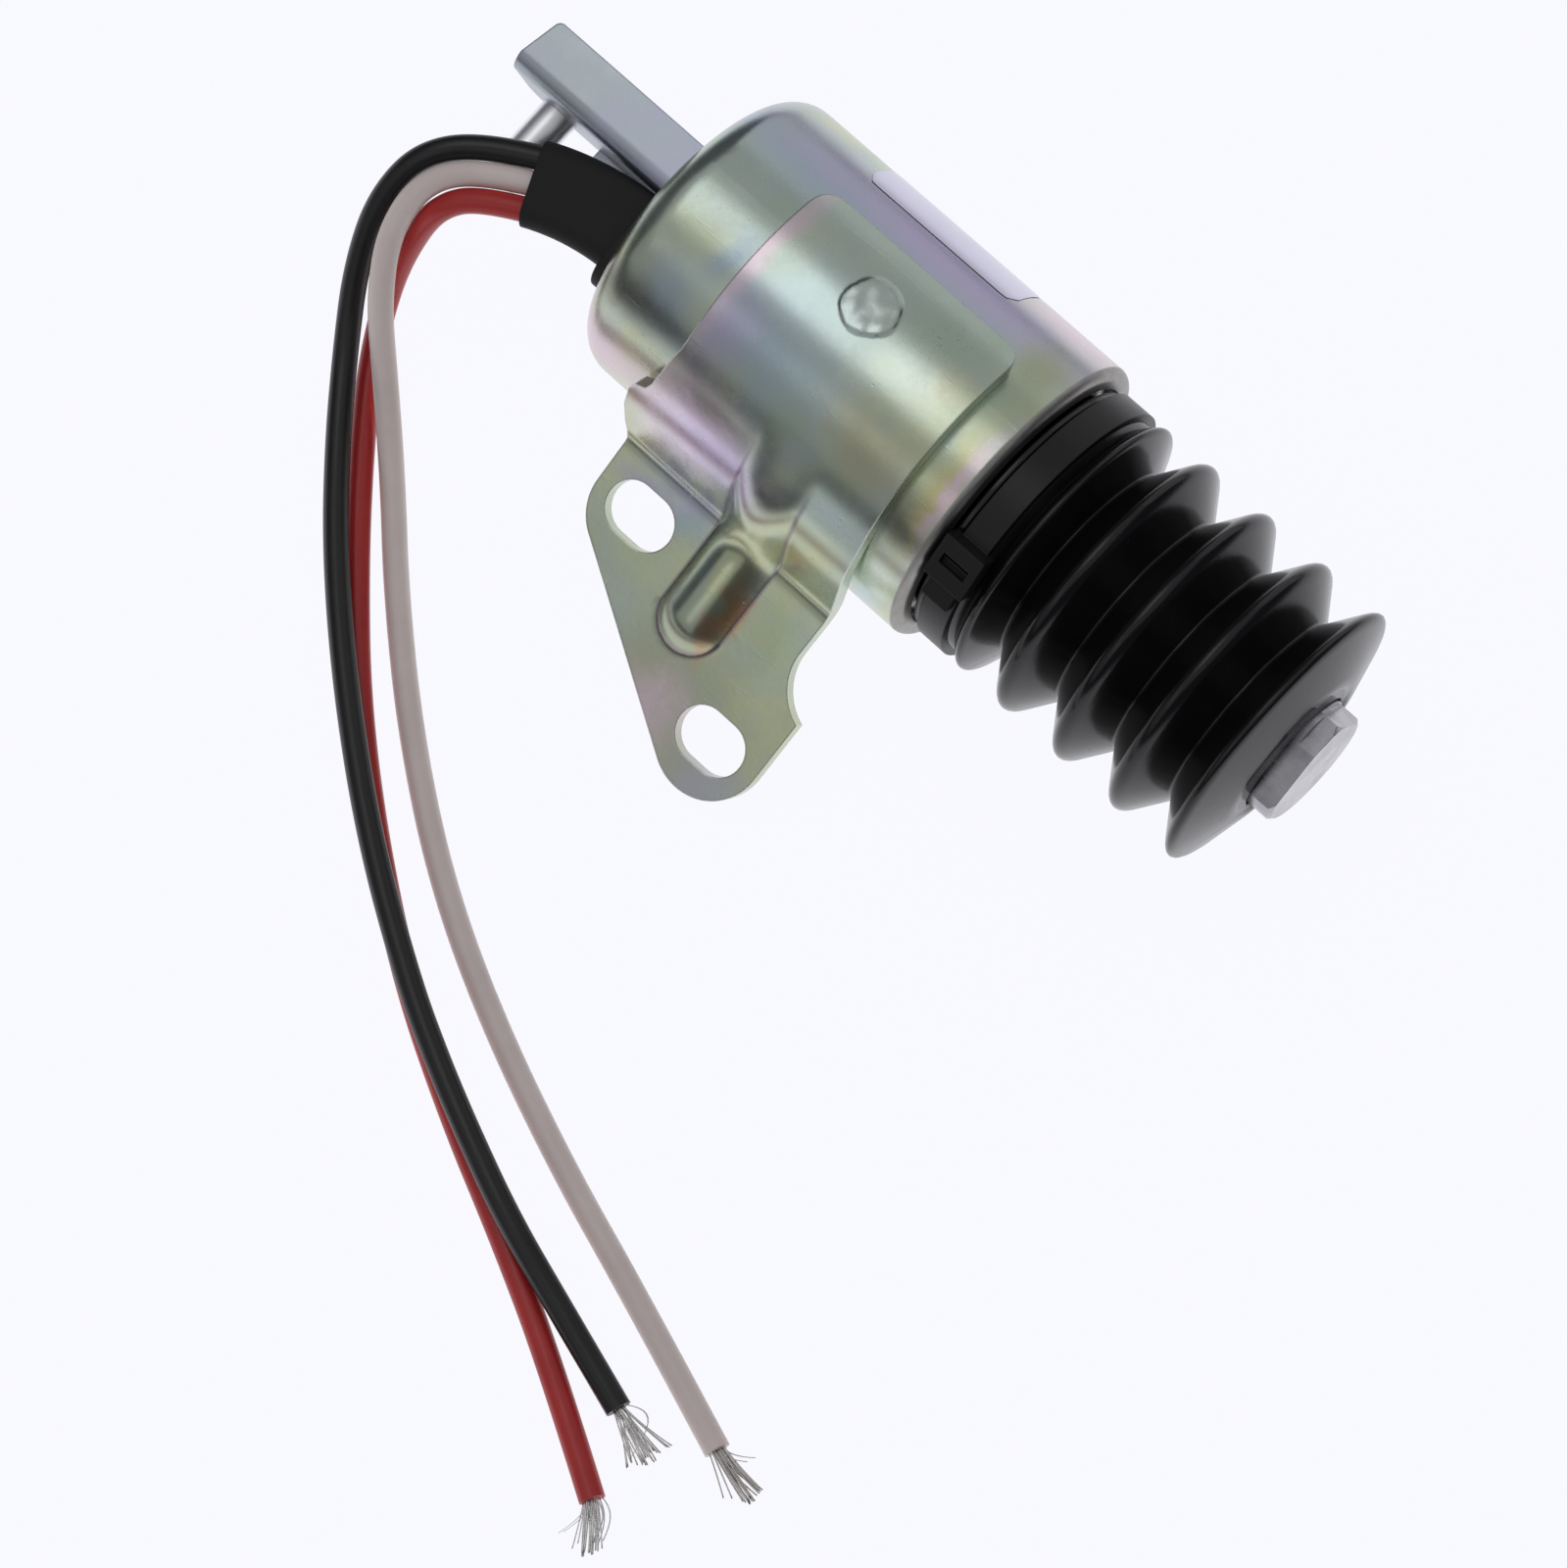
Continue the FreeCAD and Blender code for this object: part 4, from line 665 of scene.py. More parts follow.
@dataclass
class Bracket:
    """Folded mounting bracket with its pressed rib, bolt slots and weld mark, in millimetres."""

    axis: CanAxis
    finish: Material
    sheet: float = 1.96
    outer: float = 21.05
    start_angle: float = -17.3
    leave_angle: float = 57.7
    web_angle: float = 78.0
    flange_angle: float = 33.2
    ridge_run: float = 6.4
    web_run: float = 8.5
    flange_run: float = 28.0
    rear: float = -35.4
    front: float = -6.3
    slot_width: float = 6.5
    slot_length: float = 9.0
    slots: tuple[Pair, ...] = ((-30.6, 6.1), (-8.3, 20.0))
    lobes: Pair = (6.5, 6.7)
    notch: Triple = (0.45, 5.5, 6.8)
    nose: tuple[Pair, ...] = ((-35.5, -17.0), (-36.0, -14.6), (-36.6, -10.4), (-37.0, -9.5), (-38.3, -8.9),
                              (-38.9, -7.6), (-38.9, -4.6), (-38.2, -1.8), (-37.2, 0.2))
    rib_x: float = -18.5
    rib_half: float = 4.3
    rib_height: float = 2.2
    rib_start: float = 47.7
    rib_run: float = 11.0
    rib_end: float = 15.0
    weld: Pair = (-21.8, 3.7)
    weld_radius: float = 3.3
    weld_rise: float = 0.26
    fold_rounds: tuple[float, ...] = (0, 3.1, 1.3, 0)
    rib_rounds: tuple[float, ...] = (0, 3.5, 2.6, 0)
    corner_rounds: tuple[float, ...] = (0, 3.2, 2.8, 0)
    fine: float = 0.55
    weld_fine: float = 0.22
    wrap_turn: float = 1.25
    edge_gap: float = 0.3
    shortest: float = 0.08
    section: Line = field(init=False)
    crest: Line = field(init=False)
    stations: list[Pair] = field(init=False)
    fold_mark: float = field(init=False)
    weld_mark: float = field(init=False)

    def __post_init__(self) -> None:
        """Lay out the bent sheet's section and the rib's crest."""
        def arc(angle: float) -> Pair:
            """Return the wrap's point at an angle."""
            return self.outer * sin(radians(angle)), self.outer * cos(radians(angle))

        def on(start: Pair, angle: float, run: float) -> Pair:
            """Return the point at the end of a run that falls at an angle."""
            return start[0] + run * cos(radians(angle)), start[1] - run * sin(radians(angle))

        leave, foot = arc(self.leave_angle), arc(self.rib_start)
        ridge = on(leave, self.leave_angle, self.ridge_run)
        fold = on(ridge, self.web_angle, self.web_run)
        end = on(fold, self.flange_angle, self.flange_run)
        wrap = [arc(self.start_angle + i * self.wrap_turn) for i in range(60)]
        self.section = Line(wrap + smooth_line([leave, ridge, fold, end], self.fold_rounds, 10))
        self.fold_mark = self.section.marks[-1] - self.flange_run
        self.weld_mark = radians(self.weld[1] - self.start_angle) * self.outer
        top = on(foot, self.rib_start, self.rib_run)
        raised = on(fold, self.flange_angle - 90, self.rib_height)
        gap_x, gap_y, down = raised[0] - top[0], raised[1] - top[1], radians(self.web_angle)
        along = gap_x * cos(down) - gap_y * sin(down)
        off = gap_x * sin(down) + gap_y * cos(down)
        corner = on(top, self.web_angle, along + off / tan(down - radians(self.flange_angle)))
        last = on(raised, self.flange_angle, self.rib_end + 2.0)
        self.crest = Line(smooth_line([foot, top, corner, last], self.rib_rounds, 10))
        self.stations = [(self.section.nearest(low), self.crest.nearest(high))
                         for low, high in ((foot, foot), (ridge, top), (fold, corner))]
        self.stations.append((self.fold_mark + self.rib_end + 2.0, self.crest.marks[-1]))

    def outline(self) -> list[Pair]:
        """Return the flat sheet's outline as (along, reach from the fold)."""
        def touch(point: Pair, middle: Pair, r: float) -> float:
            """Return the angle at which a line from a point touches a circle."""
            towards = atan2(point[1] - middle[1], point[0] - middle[0])
            return (towards - acos(r / dist(point, middle))) % (2 * pi)

        (rear, front), (rear_r, front_r) = self.slots, self.lobes
        notch, notch_r, free = self.notch[:2], self.notch[2], -self.fold_mark
        side = atan2(front[1] - rear[1], front[0] - rear[0]) + acos((rear_r - front_r) / dist(rear, front))
        corner = pi - acos((notch[0] - front[0] - front_r) / notch_r)
        line = smooth_line([(self.rear, -20.0), (self.rear, free), (self.front, free), (self.front, -1.2)],
                           self.corner_rounds)
        path = line[::-1] + list(self.nose)
        path += circle(rear, rear_r, touch(self.nose[-1], rear, rear_r), side)
        path += circle(front, front_r, side, 0.0)
        path += circle(notch, notch_r, corner, touch((self.front, 0.0), notch, notch_r))
        kept = [path[0]]
        for point in Line(path + [path[0]]).points[1:-1]:
            if dist(point, kept[-1]) > self.shortest:
                kept.append(point)
        return kept

    def slot_line(self, x: float, y: float) -> list[Pair]:
        """Return a bolt slot's outline."""
        half = (self.slot_length - self.slot_width) / 2
        right = circle((x + half, y), self.slot_width / 2, -pi / 2, pi / 2)
        return right + [(2 * x - a, 2 * y - b) for a, b in right]

    def surface(self, x: float, reach: float) -> tuple[Vector, Vector]:
        """Return the outer face's point and the sheet's normal at a place of the flat sheet."""
        mark = reach + self.fold_mark
        spot, ahead = self.section.at(mark)
        normal = Vector((-ahead.y, ahead.x))
        past = max(reach - (self.rib_end - self.rib_half), 0.0)
        away = hypot(x - self.rib_x, past) / self.rib_half
        if away < 1.0 and self.stations[0][0] < mark < self.stations[-1][0]:
            for (a, c), (b, d) in zip(self.stations, self.stations[1:]):
                if a <= mark <= b:
                    high, _ = self.crest.at(c + (d - c) * (mark - a) / (b - a))
                    spot = spot.lerp(high, 1.0 - away ** 1.9)
        dx, dy = x - self.weld[0], mark - self.weld_mark
        near = hypot(dx, dy)
        if near < self.weld_radius + 1.0:
            turn = atan2(dy, dx)
            rim = self.weld_radius + 0.10 * sin(3 * turn + 1.0) + 0.07 * sin(5 * turn)
            rise = min(max((rim + 0.22 - near) / 0.34, 0.0), 1.0)
            lump = 0.035 * sin(1.7 * dx + 0.6) * cos(2.1 * dy + 1.1) + 0.02 * cos(3.3 * dx - dy)
            height = self.weld_rise + lump - 0.012 * (rim - near) ** 2
            spot = spot + normal * rise * rise * (3 - 2 * rise) * height
        return spot, normal

    def grid(self, edges: Sequence[list[Pair]]) -> list[Pair]:
        """Return the sheet's inner points, clear of its edges."""
        weld_x, weld_reach = self.weld[0], self.weld_mark - self.fold_mark
        columns = [self.nose[0][0] - 4 + self.fine * i for i in range(80)]
        columns = [x for x in columns if abs(x - self.rib_x) > self.rib_half + 0.2]
        columns += [self.rib_x + self.rib_half * i / 14 for i in range(-14, 15)]
        found = [(x, mark - self.fold_mark) for mark in self.section.marks[1:-1] for x in columns]
        found = [p for p in found if dist(p, (weld_x, weld_reach)) > self.weld_radius + 0.9]
        for i in range(1, 20):
            ring = self.weld_fine * i
            found += [(weld_x + ring * cos(a), weld_reach + ring * sin(a))
                      for a in full_turn(max(6, int(2 * pi * ring / 0.28)))]
        walls = [p for loop in edges for p in loop]
        return [p for p in found if inside(p, edges)
                and all(abs(p[0] - q[0]) + abs(p[1] - q[1]) > self.edge_gap for q in walls)]

    def build(self) -> None:
        """Press the flat sheet to shape and put it on the can."""
        edges = [self.outline(), *(self.slot_line(*slot) for slot in self.slots)]
        flat: list[Pair] = []
        loops = []
        for loop in edges:
            start = len(flat)
            flat += loop
            loops += [(start + i, start + (i + 1) % len(loop)) for i in range(len(loop))]
        flat += self.grid(edges)
        spots, _, cells = delaunay_2d_cdt([Vector(p) for p in flat], loops, [], 0, 1e-5)[:3]
        mesh = MeshBuilder()
        pressed = [self.surface(p.x, p.y) for p in spots]
        for depth in (0.0, self.sheet):
            lowered = [spot - normal * depth for spot, normal in pressed]
            mesh.row(self.axis.spot(p.x * MM, q.x * MM, q.y * MM) for p, q in zip(spots, lowered))
        count = len(spots)
        sides: set[tuple[int, int]] = set()
        for cell in cells:
            middle = sum((spots[i] for i in cell), Vector((0, 0))) / len(cell)
            if inside(middle, edges):
                mesh.faces += [tuple(cell), tuple(i + count for i in reversed(cell))]
                sides.update(zip(cell, cell[1:] + cell[:1]))
        mesh.faces += [(b, a, a + count, b + count) for a, b in sides if (b, a) not in sides]
        piece = mesh.build("folded_bracket", self.finish, crisp=radians(38))
        settle(piece, "plated_bracket", "mounting_bracket")


def inside(point: Iterable[float], loops: Sequence[list[Pair]]) -> bool:
    """Return whether a flat point lies in a sheet, given its outline and its holes."""
    x, y = point
    found = False
    for loop in loops:
        for (a, b), (c, d) in zip(loop, loop[1:] + loop[:1]):
            if (b > y) != (d > y) and x < a + (c - a) * (y - b) / (d - b):
                found = not found
    return found


@dataclass
class Boot:
    """Bellows boot with its neck on the collar and five folds."""

    axis: CanAxis
    wall: float = 1.2 * MM
    collar: float = 15.0 * MM
    neck: float = 16.2 * MM
    neck_start: float = 0.3 * MM
    first_peak: float = 7.5 * MM
    first_valley: float = 9.8 * MM
    pitch: float = 8.33 * MM
    peak: float = 17.75 * MM
    valley: float = 12.5 * MM
    end: float = 41.4 * MM
    end_radius: float = 9.9 * MM
    lip: float = 7.7 * MM
    bead: float = 0.5 * MM
    bead_width: float = 0.8 * MM
    growth: float = 0.6 * MM
    wobble: float = 0.2 * MM
    folds: int = 4
    around: int = 160

    def profile(self) -> tuple[list[Pair], list[Pair]]:
        """Return the outer and inner lines of the bellows as (along, radius) points."""
        outer = [(ANCHOR, self.neck), (self.first_peak, self.peak)]
        sizes = [0.0, 1.0 * MM]
        for i in range(self.folds):
            valley = self.first_valley + i * self.pitch
            outer += [(valley, self.valley), (valley + self.pitch / 2, self.peak + self.growth)]
            sizes += [0.45 * MM, 2.0 * MM]
        outer += [(self.end - 0.2 * MM, self.end_radius + 0.3 * MM), (self.end, self.lip)]
        sizes += [0.6 * MM, 0.0]
        inner = [(x, max(r - self.wall, self.lip)) for x, r in outer[:-1]]
        inner += [(self.end - self.wall, self.lip)]
        return smooth_line(outer, sizes), smooth_line(inner, [s * 0.6 for s in sizes])

    def turned(self, name: str, line: Sequence[Pair], rubber: Material, wobble: float = 0.0) -> Object:
        """Turn a closed line about the can's axis."""
        mesh = MeshBuilder()
        mesh.loft(([self.axis.point(x, r + wobble * sin(2 * a + 0.7) * (r - self.collar) / self.collar, a)
                    for a in full_turn(self.around)] for x, r in line), Ends.JOINED)
        return mesh.build(name, rubber)

    def build(self) -> None:
        """Make the neck and the bellows."""
        rubber = Rubber("boot_rubber", 0.20, 0.0045, 0.0144 * MM, glint=0.44).material(self.axis)
        start, bead, end = self.neck_start, self.neck + self.bead, self.neck_start + self.bead_width
        neck = smooth_line([
            (start, self.collar), (start, bead), (end, bead), (end + 0.3 * MM, self.neck),
            (ANCHOR, self.neck), (ANCHOR, self.collar)], [0, 0.25 * MM, 0.25 * MM, 0.2 * MM, 0, 0])
        settle(self.turned("boot_neck", neck, rubber), "boot_rubber")
        outer, inner = self.profile()
        bellows = self.turned("boot_bellows", outer + inner[::-1], rubber, self.wobble)
        shorten(settle(bellows, "boot_rubber", "boot"), self.axis, self.end)


@dataclass
class Spring:
    """Round-wire return spring inside the boot."""

    axis: CanAxis
    start: float = 6.75 * MM
    end: float = 37.25 * MM
    radius: float = 9.3 * MM
    wire: float = 0.65 * MM
    turns: int = 8
    steps: int = 32
    sides: int = 10

    def build(self) -> None:
        """Make the spring."""
        steel = BareMetal("spring_wire", (0.55, 0.55, 0.57), (0.35, 0.35, 0.36)).material()
        count = self.turns * self.steps
        mesh = MeshBuilder()
        mesh.loft([self.axis.point(self.start + (self.end - self.start) * i / count + self.wire * sin(b),
                                   self.radius + self.wire * cos(b), 2 * pi * i / self.steps)
                   for b in full_turn(self.sides)] for i in range(count + 1))
        piece = settle(mesh.build("spring_coil", steel), "spring_steel", "return_spring")
        shorten(piece, self.axis, self.end)


@dataclass(frozen=True)
class Bunch:
    """Bare strands that lie together: their lean and bow to the side, and their reach in millimetres."""

    count: int
    lean: float
    fan: float
    bow: float = 0.0
    reach: float = 6.0
    shift: float = 0.0
    stray: float = 0.06
    turn: float = 1.3


@dataclass
class Lead:
    """One insulated lead with its bare strands."""

    axis: CanAxis
    colour: str
    across: float
    finish: Insulation
    route: Sequence[Triple]
    bunches: Sequence[Bunch]
    seed: int
    diameter: float = 2.95 * MM
    sleeve_turn: float = radians(24.4)
    sleeve_bend: float = 33.7 * MM
    exit_side: float = 6.0 * MM
    exit_height: float = 7.6 * MM
    can_length: float = 50.0 * MM
    inset: float = 3.0 * MM
    straight: float = 5.0 * MM
    strand: float = 0.09 * MM
    bundle: float = 0.62 * MM
    hidden: float = 0.4 * MM
    floor_gap: float = 0.12 * MM

    def sleeve_point(self, inset: float) -> Vector:
        """Return the lead's point at a distance inside the sleeve's mouth."""
        slope, level = sin(self.sleeve_turn), cos(self.sleeve_turn)
        side = self.exit_side + self.sleeve_bend * (1 - level) + self.across * level - inset * slope
        back = -self.can_length - (self.sleeve_bend - self.across) * slope + inset * level
        return self.axis.facing(back, side, self.exit_height)

    def points(self) -> list[Vector]:
        """Return the route's points in metres."""
        on_floor = Vector((self.axis.rim.x, self.axis.rim.y, 0))
        found = [self.sleeve_point(self.inset), self.sleeve_point(-self.straight)]
        return found + [on_floor + Vector(point) * MM for point in self.route]

    def build(self) -> None:
        """Make the lead as a smooth curve and its strands."""
        points = self.points()
        curve = bpy.data.curves.new(self.colour + "_wire", "CURVE")
        curve.dimensions = "3D"
        spline = curve.splines.new("NURBS")
        spline.points.add(len(points) - 1)
        for spot, point in zip(spline.points, points):
            spot.co = (*point, 1.0)
        spline.order_u, spline.use_endpoint_u, spline.resolution_u = 3, True, 12
        curve.bevel_depth, curve.bevel_resolution, curve.use_fill_caps = self.diameter / 2, 8, True
        curve.materials.append(self.finish.material())
        piece = settle(shown(curve.name, curve), self.colour + "_insulation", self.colour + "_lead")
        bundle = self.frayed(points[-1], (points[-1] - points[-2]).normalized())
        length = sum((b - a).length for a, b in zip(points, points[1:]))

    def frayed(self, start: Vector, ahead: Vector) -> Object:
        """Make the bare strands, from the insulation's end and the lead's direction there."""
        chance = random.Random(self.seed)
        tin = BareMetal(self.colour + "_tinned", (0.80, 0.79, 0.78), (0.50, 0.45, 0.42), 0.25).material()
        side = ahead.cross(Vector((0, 0, 1))).normalized()
        up = side.cross(ahead).normalized()
        rim = [(side * cos(b) + up * sin(b)) * self.strand for b in full_turn(6)]
        mesh = MeshBuilder()
        for bunch in self.bunches:
            for _ in range(bunch.count):
                angle = chance.uniform(0, 2 * pi)
                core = self.bundle * sqrt(chance.random())
                lean = chance.gauss(bunch.lean, bunch.fan)
                lift = chance.uniform(-0.06, 0.08)
                bow = (bunch.bow + chance.gauss(0, bunch.stray)) * MM
                reach = bunch.reach * MM * chance.uniform(0.94, 1.05)
                root = (start - ahead * self.hidden + side * (cos(angle) * core + bunch.shift * MM)
                        + up * sin(angle) * core)
                rings = []
                for share in (i / 12 for i in range(13)):
                    sideways = lean * reach * share ** bunch.turn + bow * sin(pi * share)
                    rise = lift * reach * share ** 1.5 - sin(angle) * core * 0.3 * share
                    spot = root + ahead * reach * share + side * sideways + up * rise
                    spot.z = max(spot.z, self.floor_gap)
                    rings.append([spot + offset for offset in rim])
                mesh.loft(rings)
        return settle(mesh.build(self.colour + "_frayed", tin), "tinned_strands", self.colour + "_strands")


BLACK_ROUTE = (
    (-75.9, -15.8, 23.2), (-77.5, -22, 18), (-75.7, -28, 11.3), (-71.5, -34.2, 5.6), (-64, -43, 4.4),
    (-54.5, -52.7, 4.4), (-41.9, -63.4, 4.4), (-27.3, -74.0, 4.5), (-12.6, -82.6, 4.9), (-3.9, -86.8, 5.1),
    (4.1, -90.2, 5.1), (14.3, -94.1, 4.8), (24.7, -96.9, 3.3), (37.0, -100.3, 2.6))
WHITE_ROUTE = (
    (-73.4, -17.9, 22.8), (-74, -23.8, 17.9), (-70.8, -29.2, 12), (-65.4, -33.9, 5.4), (-57.5, -40.8, 1.5),
    (-47.0, -50.6, 1.5), (-33.8, -61.4, 1.5), (-19.0, -71.3, 1.5), (-3.6, -78.8, 1.5), (13.7, -85.3, 1.5),
    (29.9, -90.2, 1.5), (47.5, -96.0, 1.5))
RED_ROUTE = (
    (-71.0, -19.2, 20.6), (-72.7, -22.9, 12.6), (-72.6, -26.6, 6.0), (-68.9, -33.3, 1.7), (-61.9, -41.5, 1.5),
    (-53.2, -50.8, 1.5), (-41.4, -62.2, 1.5), (-28.4, -72.4, 1.5), (-13.8, -82.1, 1.5), (1.1, -89.6, 1.5),
    (14.9, -95.5, 1.5), (28.3, -101.8, 1.5), (41.7, -109.1, 1.5))
BLACK_BUNCHES = (
    Bunch(13, 0.04, 0.06, 0.0, 6.9), Bunch(5, 0.26, 0.05, 0.15, 6.0, 0.2),
    Bunch(4, -0.14, 0.05, 0.0, 6.6, -0.1), Bunch(3, -0.32, 0.06, 0.0, 6.6, -0.3),
    Bunch(1, 0.33, 0.0, -2.5, 5.6, -0.4, 0.0))
WHITE_BUNCHES = (
    Bunch(13, -0.09, 0.03, 0.0, 6.9, 0.1, 0.05), Bunch(9, -0.25, 0.03, 0.15, 6.5, -0.3, 0.05),
    Bunch(2, 0.10, 0.04, 0.0, 5.6, 0.6), Bunch(2, -0.85, 0.06, 0.2, 3.1, -0.3, 0.0, 1.8))
RED_BUNCHES = (
    Bunch(11, 0.24, 0.03, 0.0, 5.9, -0.1), Bunch(6, 0.36, 0.03, 0.1, 5.7, 0.3),
    Bunch(2, 0.56, 0.06, 0.1, 4.6, 0.4), Bunch(4, 0.25, 0.04, -0.8, 5.2, -0.4, 0.15),
    Bunch(2, 1.36, 0.04, -0.2, 2.8, 0.4, 0.05, 2.2))


@dataclass
class Harness:
    """The three leads, side by side in the sleeve."""

    axis: CanAxis
    pitch: float = 3.05 * MM

    def build(self) -> None:
        """Make each lead."""
        black = Insulation("black_pvc", (0.006, 0.006, 0.0065), (0.012, 0.012, 0.013), 0.36)
        white = Insulation("white_pvc", (0.88, 0.76, 0.72), (0.79, 0.68, 0.64), 0.42)
        red = Insulation("red_pvc", (0.56, 0.030, 0.028), (0.44, 0.020, 0.020), 0.36)
        Lead(self.axis, "black", -self.pitch, black, BLACK_ROUTE, BLACK_BUNCHES, 3).build()
        Lead(self.axis, "white", 0.0, white, WHITE_ROUTE, WHITE_BUNCHES, 7).build()
        Lead(self.axis, "red", self.pitch, red, RED_ROUTE, RED_BUNCHES, 11).build()


@dataclass
class Label:
    """Blank label on the can."""

    axis: CanAxis
    start: float = -35.0 * MM
    end: float = -13.0 * MM
    low: float = radians(-68)
    high: float = radians(-39)
    corner: float = 1.5 * MM
    proud: float = 0.06 * MM

    def build(self) -> None:
        """Make the label as a thin curved patch."""
        skin = Surface("label_foil")
        cloud = skin.noise(90, 2)
        colour = skin.mix(cloud.step(0.3, 0.8) * 0.5, (0.62, 0.60, 0.72), (0.58, 0.57, 0.66))
        foil = skin.finish(colour, 0.24 + (cloud - 0.5) * 0.1, Metallic=1.0)
        mesh = MeshBuilder()
        radius = self.axis.radius + self.proud
        rows = []
        for share in (i / 24 for i in range(25)):
            x = self.start + (self.end - self.start) * share
            short = max(self.corner - min(x - self.start, self.end - x), 0.0)
            inset = self.corner - sqrt(max(self.corner ** 2 - short ** 2, 0.0))
            low, high = self.low + inset / radius, self.high - inset / radius
            rows.append([self.axis.point(x, radius, low + (high - low) * k / 16) for k in range(17)])
        mesh.loft(rows, Ends.OPEN, around=False)
        settle(mesh.build("can_label", foil), "plated_can")


def tints_and_painted_light(*rows: tuple) -> tuple[TintAndPaintedLight, ...]:
    """Return patches of film colour and painted light from rows that start with the tone's name."""
    return tuple(TintAndPaintedLight(Tone[name], *rest) for name, *rest in rows)


# Film colour patches of the can mixed with painted light: the ROSE rows at angles 84 and -56 and the FROST
# and MIST rows at 76 and 92 are painted reflections of the floor at the can's edges, the UMBER rows are
# painted shade and dark reflections, and the SLATE row at -37.5 is painted shade beside the bracket's rear
# edge.
CAN_TINTS_AND_PAINTED_LIGHT = tints_and_painted_light(
    ("STEEL", -42, 22, 10, 60, 0.7), ("OLIVE", -46, 10, 36, 24, 0.6), ("SLATE", -41, 7, 44, 22, 0.8),
    ("STRAW", -43, 5, 22, 12, 0.5), ("ROSE", -46, 14, 84, 24, 0.9), ("SLATE", -32, 40, -24, 22, 0.9),
    ("LILAC", -20, 44, -34, 22, 1.0), ("ROSE", -6, 14, -56, 20, 0.9), ("GREEN", -6, 6, 10, 60, 0.6),
    ("MIST", -6.5, 5, 16, 18, 0.8), ("STRAW", -3.8, 3.6, 26, 50, 0.9), ("GOLD", -2.8, 2.2, 38, 34, 0.7),
    ("ROSE", -1.8, 1.7, 30, 40, 0.9), ("MIST", -5, 5, 92, 26, 0.9), ("FROST", -3.6, 4.5, 76, 12, 0.9),
    ("UMBER", -5.2, 3.6, 50, 18, 0.7), ("UMBER", -45, 14, 54, 13, 0.8), ("SLATE", -37.5, 2.8, 20, 18, 0.8),
    ("OLIVE", -4, 4.6, -22, 26, 0.9))
# Film colour patches of the bracket mixed with painted light: the ROSE and PEARL rows at angles 66 to 84 are
# the painted highlight along the ridge, the FROST row at -13 is a painted highlight on the saddle, and the
# UMBER rows and the SLATE row at angle 34 are painted shade and dark reflections.
BRACKET_TINTS_AND_PAINTED_LIGHT = tints_and_painted_light(
    ("STEEL", -22, 26, 5, 50, 0.8), ("MIST", -27, 14, 14, 22, 0.8), ("SLATE", -29, 14, 34, 22, 0.9),
    ("LILAC", -33, 6, 38, 26, 0.7), ("ROSE", -35, 2.6, 14, 50, 0.9), ("GREEN", -13, 9, 0, 22, 0.4),
    ("GOLD", -10, 4.2, 8, 12, 0.35), ("FROST", -13, 8, 11, 13, 0.5), ("STRAW", -11, 6, 40, 22, 0.6),
    ("ROSE", -31, 14, 66, 20, 1.0), ("PEARL", -30, 12, 73, 8, 0.95), ("PEARL", -30, 11, 84, 15, 0.95),
    ("UMBER", -29, 13, 60, 10, 0.75), ("UMBER", -17.5, 4.5, 68, 9, 0.8), ("BRONZE", -11, 11, 36, 18, 0.5),
    ("LILAC", -26, 12, 74, 14, 0.8), ("MIST", -12, 8, 62, 14, 0.8), ("OLIVE", -20, 30, 41, 17, 0.95, "out"),
    ("STEEL", -27, 8, 36, 8, 0.8, "out"), ("STRAW", -24, 10, 31, 7, 0.4, "out"),
    ("SLATE", -29, 8, 26.5, 3.4, 0.7, "out"), ("LILAC", -30, 9, 24.6, 2, 0.8, "out"),
    ("ROSE", -17, 8, 42, 7, 0.8, "out"), ("LILAC", -6, 7, 44, 5, 0.5, "out"),
    ("AMBER", -15.4, 1.7, 30, 7.5, 0.95, "out"), ("STEEL", -20.6, 2.4, 29, 7, 0.9, "out"),
    ("GREEN", -9, 6, 28, 5, 0.6, "out"))


PLAIN_FINISHES = (
    (PlainZinc("arm_zinc"), "rear_arm"),
    (BareMetal("stud_steel", (0.95, 0.95, 0.97), (0.86, 0.86, 0.88), 0.36, grain=0.12), "arm_pin"),
    (BareMetal("pole_steel", (0.16, 0.16, 0.17), (0.06, 0.06, 0.06), 0.12), "front_pole_plate"),
    (BareMetal("core_steel", (0.55, 0.55, 0.56), (0.40, 0.40, 0.41), 0.35),
     "rear_plate fixed_core spring_seat"),
    (BareMetal("plunger_steel", (0.52, 0.51, 0.54), (0.24, 0.23, 0.25), 0.26, (0.2, 1, 1)), "plunger"),
    (BareMetal("ring_steel", (0.5, 0.5, 0.52), (0.3, 0.3, 0.31)), "retaining_ring"),
    (BareMetal("tube_brass", (0.80, 0.62, 0.28), (0.62, 0.45, 0.2)), "guide_tube"),
    (BareMetal("winding_copper", (0.72, 0.36, 0.20), (0.5, 0.2, 0.1)), "pull_coil hold_coil"),
    (Insulation("coil_tape", (0.62, 0.52, 0.26), (0.5, 0.4, 0.2)), "coil_wrap"),
    (Rubber("bobbin_plastic", 0.5, 0.02), "bobbin"),
    (Rubber("potting_resin", 0.2, 0.015), "potting"),
    (Rubber("grommet_rubber", 0.6, 0.014), "lead_grommet"),
    (Rubber("sleeve_matt", 0.62, 0.013, 0.02 * MM, 1800.0), "lead_sleeve"),
    (Rubber("tie_nylon", 0.36, 0.012), "boot_tie"))


